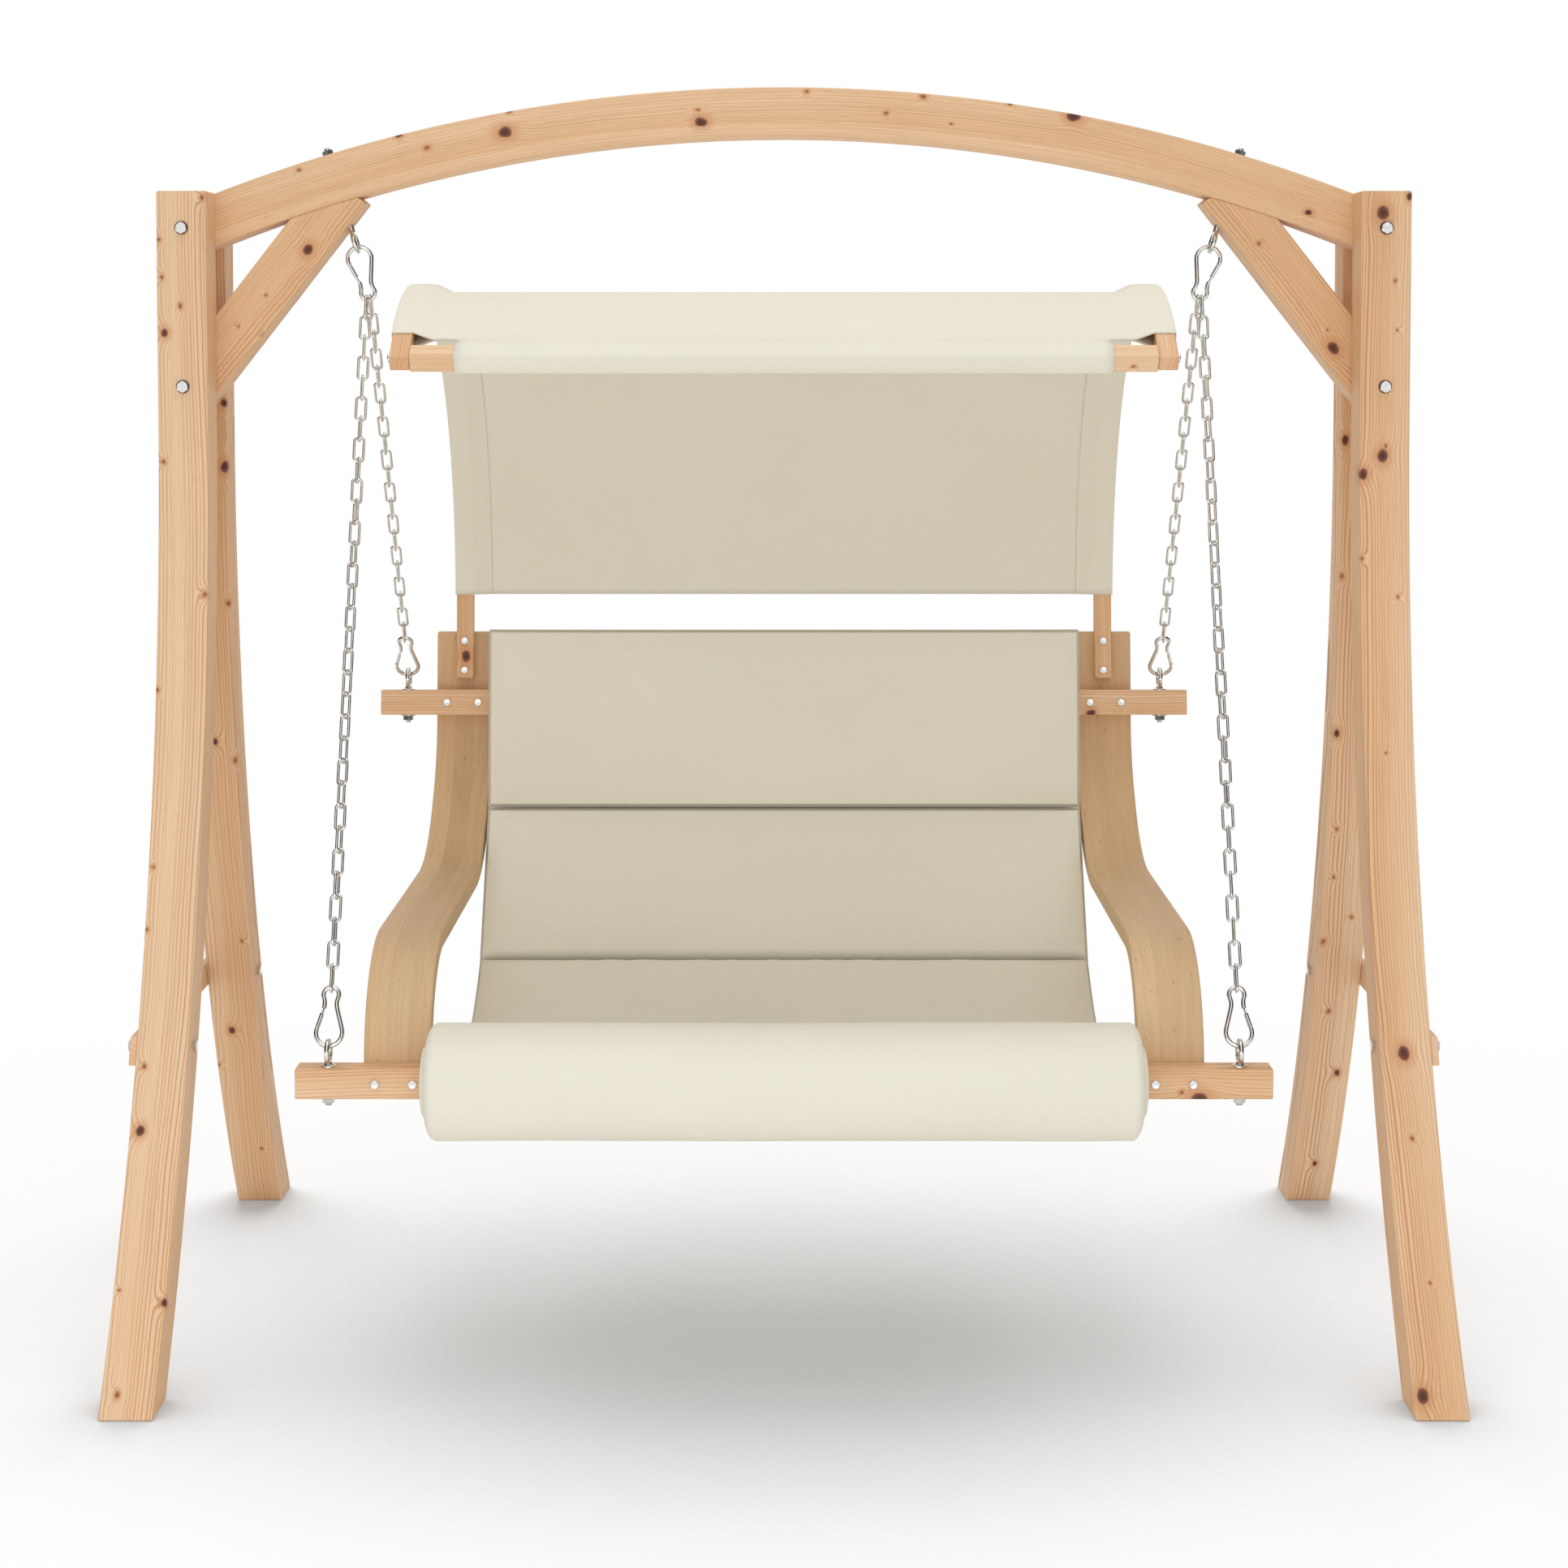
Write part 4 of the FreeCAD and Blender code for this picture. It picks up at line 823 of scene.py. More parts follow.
def brace_outline():
    """The right brace in front view, as (x, z): cut upright at the leg and scribed to the beam above."""
    along = np.array([-math.cos(brace_slope), math.sin(brace_slope)])
    side_way = left_of(along)
    beam_middle = np.array([0.0, beam_centre_z])
    under_beam = beam_radius - beam_height

    def at_leg(half):
        start = brace_bolt + side_way * half
        return start + along * ((start[0] - half_width) / math.cos(brace_slope))

    def at_beam(start, way):
        offset = start - beam_middle
        half_b = np.dot(offset, way)
        return start + way * (math.sqrt(half_b ** 2 - np.dot(offset, offset) + under_beam ** 2) - half_b)

    tip = brace_bolt + along * brace_end + side_way * brace_half_width
    meets = [at_beam(tip, -side_way), at_beam(brace_bolt - side_way * brace_half_width, along)]
    bearings = [math.atan2(*(spot - beam_middle)) for spot in meets]
    scribed = [beam_middle + under_beam * np.array([math.sin(t), math.cos(t)])
               for t in np.linspace(*bearings, scribed_points)]
    return [at_leg(brace_half_width), tip] + scribed + [at_leg(-brace_half_width)]


def stretcher_outline(low_z, high_z):
    """A stretcher in side view, as (y, z): its ends follow the legs' outer faces."""
    corners = []
    for z, way in ((low_z, -1), (low_z, 1), (high_z, 1), (high_z, -1)):
        bend = math.sqrt(leg_radius ** 2 - (leg_bend_start - z) ** 2)
        corners.append(np.array([way * (leg_face_y + leg_radius - bend - stretcher_inset), z]))
    return corners


for place, (side_name, side) in enumerate(SIDES):
    for row, back in ROWS:
        node = f"{side_name}_{row}_leg"
        stand_timber(node, leg(node, side, back), pith=leg_piths[row], ring=0.0044,
                     knots=LEG_KNOTS[node], seed=1.7 + place + 2 * back, marks=LEG_BOLT_SHADOWS)
    node = side_name + "_brace"
    slope = np.array([-side * math.cos(brace_slope), 0, math.sin(brace_slope)])
    piece = straight_timber(node, brace_outline(), -beam_half_depth, beam_half_depth,
                            lambda spot, level: (side * spot[0], level, spot[1]), (slope, y_way),
                            middle_of(node))
    stand_timber(node, piece, pith=(0.030, 0.034 * side), ring=0.0036, lines=0.7, wander=0.03,
                 knots=BRACE_KNOTS[node], branch="across", seed=6.3 + place)
    node = side_name + "_stretcher"
    low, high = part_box(node)
    piece = straight_timber(node, stretcher_outline(low.z, high.z), low.x, high.x,
                            lambda spot, level: (level, *spot), (y_way, z_way), middle_of(node))
    stand_timber(node, piece, pith=(0.06, 0.03), ring=0.0042, lines=0.5, seed=9.1 + place)
stand_timber("arch_beam", beam("arch_beam"), pith=(0.02, 0.13), ring=0.0042, lines=0.75, wander=0.04,
             knots=BEAM_KNOTS, branch="across", seed=0.4, lamella=-0.019)

# Seat timbers
elbow_way = np.array([math.cos(side_elbow_slope), math.sin(side_elbow_slope)])
side_points = [
    post_face + rear_up * side_top_rise,
    meet(post_face, rear_up, side_elbow, elbow_way),
    side_elbow,
    np.array([front_post_y, side_elbow[1]]),
    np.array([front_post_y, front_bar[1] - bar_half]),
]
side_run = bent_run(side_points, side_radii)

rear_corner = meet(post_face, rear_up, np.array([0.0, arm_top]), np.array([-1.0, 0.0]))
rear_reach = arm_radii[0] * math.tan((math.pi / 2 + rear_lean) / 2)
front_reach = arm_radii[1] * math.tan(arm_front_slope / 2)
front_corner = rear_corner - np.array([rear_reach + arm_crest_length + front_reach, 0.0])
arm_end_way = -np.array([math.cos(arm_front_slope), math.sin(arm_front_slope)])
arm_end = front_corner + arm_end_way * (front_reach + arm_end_length)
arm_points = [post_face + rear_up * arm_start, rear_corner, front_corner, arm_end]
arm_run = bent_run(arm_points, arm_radii)
arm_end_out = -left_of(arm_end_way)
rail_centre = arm_end - arm_end_out * (arm_thickness / 2) - arm_end_way * (rail_size / 2)

ARM_KNOTS = {"left": ((40, 3, 12.5, 8.8), (900, -6, 0, 4)), "right": ((640, 4, 0, 5),)}
BAR_KNOTS = {"front_crossbar": ((617, -21.5, 22.5, 10.5), (590, -12, 22.5, 3), (-300, 10, -22.5, 6)),
             "rear_crossbar": ((553, -19, 22.5, 6.5), (-200, -8, -22.5, 6)),
             "canopy_front_rail": ((525, -4, 15, 3),)}
BARS = {"front_crossbar": (front_bar, z_way[1:], bar_half), "rear_crossbar": (rear_bar, rear_up, bar_half),
        "canopy_front_rail": (rail_centre, arm_end_out, rail_size / 2)}
SQUARE = ((1, 1), (-1, 1), (-1, -1), (1, -1))

for place, (side_name, _) in enumerate(SIDES):
    node = side_name + "_side_frame"
    seat_timber(node, run_timber(node, side_run, side_thickness, band_ease), "_wood", BAND, pith=(0.02, 0.20),
                ring=0.0075, lines=0.20, wander=0.09, seed=12.5 + 2.2 * place, staves=0.034)
    node = side_name + "_canopy_arm"
    seat_timber(node, run_timber(node, arm_run, arm_thickness, timber_ease), pith=(0.07, 0.02), ring=0.0040,
                knots=ARM_KNOTS[side_name], seed=15.1 + place)
for place, (node, (centre, up, half)) in enumerate(BARS.items()):
    outline = [centre + up * (half * a) + left_of(up) * (half * b) for a, b in SQUARE]
    reach = half_of(node)[0]
    piece = straight_timber(node, outline, -reach, reach, lambda spot, level: (level, *spot),
                            (x_way, np.array([0, *up])), np.array([0, *centre]))
    seat_timber(node, piece, pith=(0.09, 0.02), ring=0.0046, knots=BAR_KNOTS[node], seed=18.6 + place)

# Fasteners, eyes and chains
zinc = metal_material("zinc_plate", (0.62, 0.62, 0.61), 0.20, 0.14)
bright_zinc = metal_material("bright_zinc", (0.80, 0.80, 0.79), 0.06, 0.06)


# Round head and eye collar, as radius and height pairs; the head's are shares of its size, and the collar's
# heights are from its foot
ROUND_HEAD = ((1.0, 0.0), (1.0, 0.50), (0.97, 0.80), (0.88, 1.0), (0.24, 1.0), (0.14, 0.93))
EYE_COLLAR = ((0.0072, -0.0034), (0.0116, -0.0018), (0.0118, 0.0))
eye_collar_top = 0.0055
eye_collar_drop = 0.002
eye_steps = 40
washer_sides = 32
link_corner_steps = 6
link_corner_slack = 0.0004


def each_solid(node, add, suffix="_set", sharp=sharp_edge):
    """One piece for a node, in which a function adds each of the node's solids from its points."""
    shape = Shape()
    for points in islands(node):
        add(shape, points)
    return shape.make(node + suffix, sharp)


def threads(low, high):
    """Profile of a bolt's threaded stretch as fine ridges."""
    count = max(1, int((high - low) / thread_pitch))
    profile = []
    for k in range(count):
        start = low + (high - low) * k / count
        profile += [(bolt_radius - thread_depth, start), (bolt_radius, start + thread_pitch / 2)]
    return profile + [(bolt_radius - 2 * thread_depth, high)]


def hex_bolt(shape, points):
    end, axis, length, _ = headed(points)
    seat = end + axis * bolt_head_height
    shape.hexagon(seat, -axis, bolt_flats, bolt_head_height)
    shank = [(bolt_radius, 0.0)] + threads(length - thread_length, length - bolt_head_height)
    shape.turned(seat, axis, shank)


def round_bolt(shape, points):
    end, axis, length, _ = headed(points)
    seat = end + axis * small_head_height
    shape.turned(seat, -axis, [(small_head_radius * r, small_head_height * h) for r, h in ROUND_HEAD])
    shape.turned(seat, axis, [(small_bolt_radius, 0.0), (small_bolt_radius, length - small_head_height)])


def nut(shape, points, flats=bolt_flats):
    centre, ways, spans = main_ways(points)
    axis, height = ways[2], spans[2]
    shape.hexagon(centre - axis * (height / 2), axis, flats, height, both=True)


def small_nut(shape, points):
    nut(shape, points, small_flats)


def washer(shape, points):
    centre, ways, spans = main_ways(points)
    height, radius = spans[2], spans[0] / 2
    ease = height / 4
    profile = [(radius - ease, -height / 2), (radius, ease - height / 2), (radius, height / 2 - ease),
               (radius - ease, height / 2)]
    shape.turned(centre, ways[2], profile, washer_sides)


def eye_bolt(shape, points):
    """An eye of round wire with its threaded shank. Gives its centre, axis and the shank's start."""
    sweep = (eye_outer - eye_wire) / 2
    end, axis, length, normal = headed(points)
    centre = end + axis * (eye_outer / 2)
    other = np.cross(normal, axis)
    eye = [centre + (axis * math.cos(t) + other * math.sin(t)) * sweep for t in circle(eye_steps)]
    shape.wire(eye, normal, eye_wire / 2, closed=True, sides=12)
    reach = length - eye_outer / 2
    shape.turned(centre, axis, [(bolt_radius, sweep)] + threads(reach - thread_length, reach))
    return centre, axis, sweep


def collared_eye_bolt(shape, points):
    centre, axis, sweep = eye_bolt(shape, points)
    foot = eye_outer / 2 + eye_collar_drop
    collar = [(radius, foot + height) for radius, height in EYE_COLLAR]
    shape.turned(centre, axis, [(eye_collar_top, sweep)] + collar)


def chain_link(shape, points):
    """A welded link with straight sides and round corners."""
    centre, ways, spans = main_ways(points)
    half_long, half_side = (spans[k] / 2 - chain_wire / 2 for k in (0, 1))
    corner = min(chain_corner, half_side - link_corner_slack)
    path = []
    for k, (u, v) in enumerate(SQUARE):
        for step in range(link_corner_steps + 1):
            turn = math.pi / 2 * (k + step / link_corner_steps)
            long_place = u * (half_long - corner) + corner * math.cos(turn)
            side_place = v * (half_side - corner) + corner * math.sin(turn)
            path.append(centre + ways[0] * long_place + ways[1] * side_place)
    shape.wire(path, ways[2], chain_wire / 2, closed=True)


def hardware(body, metal, add, *names, suffix="_set", sharp=sharp_edge):
    """Dresses each named node's hardware in metal."""
    for node in names:
        dress(each_solid(node, add, suffix, sharp), body, "zinc_steel", metal, node)


hardware("stand", bright_zinc, hex_bolt, "leg_bolts", "stretcher_bolts", sharp=sharp_hexagon)
hardware("stand", zinc, nut, "leg_nuts", "stretcher_nuts", "top_eye_nuts", sharp=sharp_hexagon)
hardware("stand", zinc, washer, "top_eye_washers")
hardware("stand", bright_zinc, eye_bolt, "left_top_eye_bolt", "right_top_eye_bolt")
hardware("hanging_seat", bright_zinc, round_bolt, "crossbar_bolts", "canopy_bolts", "canopy_rail_screws")
hardware("hanging_seat", zinc, small_nut, "crossbar_nuts", "canopy_nuts", sharp=sharp_hexagon)
hardware("hanging_seat", zinc, nut, "seat_eye_nuts", sharp=sharp_hexagon)
hardware("hanging_seat", zinc, washer, "seat_eye_washers")
hardware("hanging_seat", bright_zinc, collared_eye_bolt, "seat_eye_bolts")
hardware("hanging_seat", bright_zinc, chain_link, "left_front_chain", "left_rear_chain", "right_front_chain",
         "right_rear_chain", suffix="_links", sharp=sharp_bend)


# Snap hooks: a pear of wire in the local XZ plane, with its gate on a pin
tongue_reach = (0.001, 0.0024)
tongue_radius = 0.0016
rod_root = 0.0036
rod_slack = 0.0002
rod_tip = 0.0008
cheek_reach = (0.0026, 0.0060)
cheek_offset = 0.0026
cheek_radius = 0.0009

# A hinge pin's low domed end, as radius and height past the pin's solid
RIVET_END = ((0.0012, 0.0005), (0.0018, 0.0001), (0.0018, -0.0003), (0.0010, -0.0004))


def arc(centre, radius, start, end, steps):
    turns = np.linspace(start, end, steps + 1)
    return [centre + radius * np.array([math.cos(t), math.sin(t)]) for t in turns]


wide_centre = np.array([0.0, hook_wide_radius])
narrow_centre = np.array([0.0, hook_length - hook_wire - hook_narrow_radius])
neck_z = hook_length - hook_wire / 2 - hook_neck_place
neck_rise = narrow_centre[1] - neck_z
narrowing = hook_narrow_radius - hook_neck_half
neck_radius = (hook_neck_half ** 2 + neck_rise ** 2 - hook_narrow_radius ** 2) / (2 * narrowing)
neck_centre = np.array([hook_neck_half + neck_radius, neck_z])
neck_way = neck_centre - wide_centre
gate_swing = math.acos((hook_wide_radius + neck_radius) / np.linalg.norm(neck_way))
gate_bearing = math.atan2(neck_way[1], neck_way[0]) - gate_swing
narrow_bearing = math.atan2(neck_centre[1] - narrow_centre[1], neck_centre[0])
gate_nose = arc(wide_centre, hook_wide_radius, gate_bearing, gate_bearing, 1)[0]
gate_root = arc(neck_centre, neck_radius, math.pi + gate_bearing, math.pi + gate_bearing, 1)[0]
gate_way = unit(gate_nose - gate_root)
gate_pin = gate_root + gate_way * gate_pin_setback


def hook_ways(joint, node):
    """The hook's local ways and origin, from its gate's hinge and its own long way."""
    pin, turn_way = np.array(joint["pos_m"]), unit(np.array(joint["axis"]))
    points = np.concatenate(islands(node))
    centre, ways, _ = main_ways(points)
    long_way = unit(ways[0] - turn_way * np.dot(ways[0], turn_way))
    if np.dot(pin - centre, long_way) < 0:
        long_way = -long_way
    side_way = np.cross(turn_way, long_way)
    return side_way, turn_way, long_way, pin - side_way * gate_pin[0] - long_way * gate_pin[1]


def hook_pieces(name, joint):
    """The hook with its tongue, and its forked gate."""
    side_way, turn_way, long_way, origin = hook_ways(joint, name + "_hook")

    def set_out(spots):
        return [origin + side_way * x + long_way * z for x, z in spots]

    neck = arc(neck_centre, neck_radius, math.pi + gate_bearing, math.pi + narrow_bearing, 6)
    path = [gate_nose - gate_way * gate_nose_reach]
    path += arc(wide_centre, hook_wide_radius, gate_bearing, -math.pi - gate_bearing, 26)
    path += [np.array([-x, z]) for x, z in neck]
    path += arc(narrow_centre, hook_narrow_radius, math.pi - narrow_bearing, narrow_bearing, 22)[1:]
    path += neck[::-1][1:]
    hook = Shape()
    hook.wire(set_out(path), turn_way, hook_wire / 2, sides=12)
    tongue = [gate_root - gate_way * tongue_reach[0], gate_pin + gate_way * tongue_reach[1]]
    hook.wire(set_out(tongue), turn_way, tongue_radius, sides=8)
    gate = Shape()
    short = gate_nose_reach + gate_nose_gap
    rod = [gate_pin + gate_way * rod_root, gate_nose - gate_way * (short + rod_tip),
           gate_nose - gate_way * short]
    gate.wire(set_out(rod), turn_way, hook_wire / 2 - rod_slack, sides=12, swell=(1, 1, 0.8))
    cheek = set_out([gate_pin - gate_way * cheek_reach[0], gate_pin + gate_way * cheek_reach[1]])
    for hand in (-1, 1):
        shifted = [spot + turn_way * (hand * cheek_offset) for spot in cheek]
        gate.wire(shifted, turn_way, cheek_radius, sides=8)
    return hook.make(name + "_hook_wire"), gate.make(name + "_gate_rod")


for joint in frame["joints"]:
    if joint["name"].endswith("_gate_hinge"):
        name = joint["name"][:-len("_gate_hinge")]
        hook, gate = hook_pieces(name, joint)
        seat_piece(hook, "zinc_steel", bright_zinc, name + "_hook")
        dress(gate, joint["child"], "zinc_steel", bright_zinc, name + "_gate")


def rivet(shape, points):
    """A hinge pin with low domed ends."""
    centre, ways, spans = main_ways(points)
    half = spans[0] / 2
    profile = [(r, -half - h) for r, h in RIVET_END] + [(r, half + h) for r, h in RIVET_END[::-1]]
    shape.turned(centre, ways[0], profile, 12)


hardware("hanging_seat", zinc, rivet, "gate_pins")

# Cushions
cream = cloth_material("cream_canvas", (0.86, 0.825, 0.70), (0.81, 0.775, 0.645), 0.0016)

sling_front = bar_half + soft_gap + sling_thickness
sling_radius = seat_radius + pad_thickness
sling_front_y = front_post_y + soft_gap + sling_thickness / 2
seat_centre_z = front_bar[1] - seat_low_drop + seat_radius
sling_rise = seat_centre_z - front_bar[1] + sling_front_drop
seat_centre = np.array([sling_front_y + math.sqrt(sling_radius ** 2 - sling_rise ** 2), seat_centre_z])


def seat_point(radius, angle):
    return seat_centre + radius * np.array([math.sin(angle), -math.cos(angle)])


def roll_angle(radius, gap):
    """The angle at which the seat's hollow, at this radius, comes within a gap of the front roll."""
    way = roll_centre - seat_centre
    reach = np.linalg.norm(way)
    cosine = (radius ** 2 + reach ** 2 - (roll_radius + gap) ** 2) / (2 * radius * reach)
    return math.acos(cosine) + math.atan2(way[0], -way[1])


pad_back = rear_bar + rear_forward * (sling_front + soft_gap)
pad_front = pad_back + rear_forward * pad_thickness
sling_corner = seat_point(sling_radius, seat_crease_angle)
seat_crease = seat_point(seat_radius, seat_crease_angle)
upper_back_foot = pad_front + rear_up * upper_pad_bottom
lower_way = unit(seat_crease - upper_back_foot)
sling_bend = meet(rear_bar + rear_forward * sling_front, rear_up, sling_corner, lower_way)


def edge_lines(half, near, pace):
    """Lines across a cushion's side: close together near both edges, then at an even pace."""
    near = [half - d for d in near if d < half]
    count = max(1, round(2 * near[-1] / pace))
    inner = np.linspace(-near[-1], near[-1], count + 1)[1:-1]
    return np.array([-d for d in near] + list(inner) + near[::-1])


def lattice(lines):
    """Points and faces of a box's surface, cut along the lines given for its three ways."""
    index, points, faces = {}, [], []

    def corner(key):
        if key not in index:
            index[key] = len(points)
            points.append([line[k] for line, k in zip(lines, key)])
        return index[key]

    for axis in range(3):
        one, two = (axis + 1) % 3, (axis + 2) % 3
        for end in (0, len(lines[axis]) - 1):
            for i in range(len(lines[one]) - 1):
                for j in range(len(lines[two]) - 1):
                    face = []
                    for a, b in ((0, 0), (1, 0), (1, 1), (0, 1)):
                        key = [0, 0, 0]
                        key[axis], key[one], key[two] = end, i + a, j + b
                        face.append(corner(tuple(key)))
                    faces.append(tuple(face))
    return np.array(points), faces


# Where a cover is cut near its edges, the pace of the cuts further in, and its creases by their two ends
NEAR_EDGE = (0.0, 0.0012, 0.0024, 0.0036, 0.0042, 0.0045, 0.0050, 0.0057, 0.0068, 0.0088, 0.011, 0.014,
             0.0175, 0.022, 0.028)
cover_paces = (0.009, 0.008, 0.008)
crease_drop = 0.0016
crease_width = 0.011
LOWER_CREASES = (((0.075, 0.115), (0.115, -0.010)), ((0.090, 0.030), (0.205, -0.135)),
                 ((0.030, 0.030), (0.120, -0.135)), ((-0.060, 0.075), (0.005, -0.005)),
                 ((-0.190, 0.030), (-0.120, -0.020)))

# Unevenness of a cover: broad over its face, and fine puckers by its seams
broad_rise = 0.0014
broad_fade = 0.04
fine_rise = 0.0007
fine_fade = 0.03
sim_frames = 20


def pucker(spot, seed):
    return noise.noise(Vector((spot[0], spot[1], seed)))


def crease_depth(x, v, creases):
    """How deep a place on a cover lies in its creases, each given by its two ends."""
    deep = 0.0
    for ends in creases:
        start, end = np.array(ends)
        way = end - start
        share = np.dot((x, v) - start, way) / np.dot(way, way)
        if 0 < share < 1:
            off = np.linalg.norm((x, v) - start - way * share)
            deep += crease_drop * math.sin(math.pi * share) * math.exp(-(off / crease_width) ** 2)
    return deep


def rim_fall(raw, half, foot_wall):
    """How far a place lies below a cushion's face: on the flat rim round it, or on the wall inside."""
    reaches = ((half[0] - abs(raw[0]), pad_wall), (half[1] - raw[1], pad_wall), (half[1] + raw[1], foot_wall))
    share = min(min(max((reach - pad_rim) / wall, 0.0), 1.0) for reach, wall in reaches)
    return pad_rim_depth * (1 - math.sqrt(share * (2 - share)))


def swell(piece, held):
    """How a cover's points move as it swells over its filling: cloth under pressure, held at its rim,
    walls, sides and back. No point moves further than the swell."""
    before = np.array([v.co for v in piece.data.vertices])
    piece.vertex_groups.new(name="held").add(held, 1.0, "REPLACE")
    cloth = piece.modifiers.new("cover", "CLOTH")
    cloth.settings.vertex_group_mass = "held"
    cloth.settings.use_pressure = True
    cloth.settings.uniform_pressure_force = pad_pressure
    cloth.settings.effector_weights.gravity = 0.0
    cloth.settings.shrink_min = -pad_slack
    for step in range(1, sim_frames + 1):
        scene.frame_set(step)
    swollen = piece.evaluated_get(bpy.context.evaluated_depsgraph_get()).data
    moves = np.array([v.co for v in swollen.vertices]) - before
    reach = np.linalg.norm(moves, axis=1)
    piece.modifiers.clear()
    piece.vertex_groups.clear()
    scene.frame_set(1)
    return moves * np.minimum(1.0, pad_swell / np.maximum(reach, 1e-9))[:, None]


def cushion(name, length, place, crown, seed, foot_wall=pad_wall, creases=()):
    """A box cushion with round edges, a crowned face and a sewn rim round it. Its place function gives
    (y, z) for shares from -1 to 1 along it and through it, towards its face."""
    half = np.array([pad_half_width, length / 2, pad_thickness / 2])
    nears = (NEAR_EDGE, NEAR_EDGE, NEAR_EDGE[::2])
    points, faces = lattice([edge_lines(*side) for side in zip(half, nears, cover_paces)])
    inner = np.clip(points, pad_round - half, half - pad_round)
    away = points - inner
    shaped = inner + away * (pad_round / np.linalg.norm(away, axis=1))[:, None]
    placed, field, held, dents = [], [], [], []
    for k, (raw, (x, v, w)) in enumerate(zip(points, shaped)):
        u_share, v_share = raw[0] / half[0], raw[1] / half[1]
        edge = min(half[0] - abs(raw[0]), half[1] - abs(raw[1]))
        front = max(0.0, raw[2] / half[2])
        fall = rim_fall(raw, half, foot_wall)
        rise = crown * (1 - abs(u_share) ** 6) * (1 - v_share ** 2) - fall
        rise += broad_rise * pucker((x * 7, v * 11), seed) * min(1, edge / broad_fade)
        rise += fine_rise * pucker((x * 45, v * 45), seed + 5) * math.exp(-edge / fine_fade)
        w += rise * front
        v *= 1 - pad_draw_in * (1 - u_share ** 6) / half[1]
        placed.append((x, *place(v / half[1], w / half[2])))
        dent = crease_depth(x, v, creases) * front
        dents.append((0.0, *(place(v / half[1], (w - dent) / half[2]) - placed[-1][1:])))
        # The field's third part is how deep the place lies on the rim, which the cloth's painted shade
        # follows
        field.append((x + 0.7 * w, v + 0.7 * w, fall * front))
        if front < 1 or fall > 0:
            held.append(k)
    piece = mesh_object(name, placed, faces, {"cloth": field}, sharp_cover)
    moves = np.array(dents)
    moves += swell(piece, held)
    piece.data.vertices.foreach_set("co", (np.array(placed) + moves).ravel())
    piece.data.update()
    return piece


def in_quad(corners):
    """Place function for four (y, z) corners: back foot, back top, front foot, front top."""
    def place(along, through):
        high, out = (1 + along) / 2, (1 + through) / 2
        back = corners[0] * (1 - high) + corners[1] * high
        face = corners[2] * (1 - high) + corners[3] * high
        return back * (1 - out) + face * out
    return place


def in_hollow(along, through):
    """Place function for the seat pad, from the roll to the crease, in the hollow's arc."""
    out = (1 + through) / 2
    radius = (sling_radius - soft_gap) * (1 - out) + seat_radius * out
    front = roll_angle(min(max(radius, seat_radius), sling_radius - soft_gap), seam_gap)
    rear = seat_crease_angle - seam_gap / seat_radius
    return seat_point(radius, front + (rear - front) * (1 + along) / 2)


bend_way = unit(upper_back_foot - sling_bend)
upper_corners = (meet(pad_back, rear_up, sling_bend, bend_way) + rear_up * seam_gap,
                 pad_back + rear_up * upper_pad_top, upper_back_foot + rear_up * seam_gap,
                 pad_front + rear_up * upper_pad_top)
lower_out = -left_of(lower_way)
if np.dot(lower_out, rear_forward) < 0:
    lower_out = -lower_out
seam_half = lower_way * (seam_gap / 2)
lower_corners = (sling_corner + lower_out * soft_gap - seam_half,
                 sling_bend + lower_out * soft_gap + seam_half,
                 seat_crease - seam_half, upper_back_foot + seam_half)
back_pads = (("upper_back_pad", upper_corners, 1.3, pad_wall, ()),
             ("lower_back_pad", lower_corners, 4.9, pad_foot_wall, LOWER_CREASES))
for node, corners, seed, foot_wall, creases in back_pads:
    length = (np.linalg.norm(corners[1] - corners[0]) + np.linalg.norm(corners[3] - corners[2])) / 2
    piece = cushion(node + "_cover", length, in_quad(corners), pad_crown, seed, foot_wall, creases)
    seat_piece(piece, "cushion_cloth", cream, node)
middle_radius = seat_radius + pad_thickness / 2
hollow_length = middle_radius * (seat_crease_angle - roll_angle(middle_radius, 0))
piece = cushion("seat_pad_cover", hollow_length, in_hollow, pad_crown / 2, 8.2)
seat_piece(piece, "cushion_cloth", cream, "seat_pad")

# The roll's sewn-in ends, as x past the roll's half length and radius past the shoulder's foot
ROLL_SEAM = ((-0.0022, -0.0006), (-0.0020, -0.0014), (0.0008, -0.0008), (0.0030, -0.0008), (0.0046, -0.0022),
             (0.0052, -0.0046))
roll_cap_bulge = 0.007
roll_cap_dish = 0.0018
roll_half = roll_reach - roll_cap_bulge
roll_around = 96
roll_unevenness = 0.012


def roll_profile():
    """Half of the roll from its middle out: (x, radius) along the body, the shoulder and the sewn-in end."""
    foot = roll_radius - roll_shoulder_drop
    start = roll_half - roll_shoulder_length
    body = [(x, roll_radius) for x in np.linspace(0, start, 44)]
    shoulder = [(start + roll_shoulder_length * math.sin(a), foot + roll_shoulder_drop * math.cos(a))
                for a in np.linspace(0.12, math.pi / 2, 12)]
    seam = [(roll_half + past, foot + drop) for past, drop in ROLL_SEAM]
    cap = [(roll_half + roll_cap_bulge - roll_cap_dish * (r / foot) ** 2, r)
           for r in foot * np.linspace(0.85, 0.02, 8)]
    return body + shoulder + seam + cap


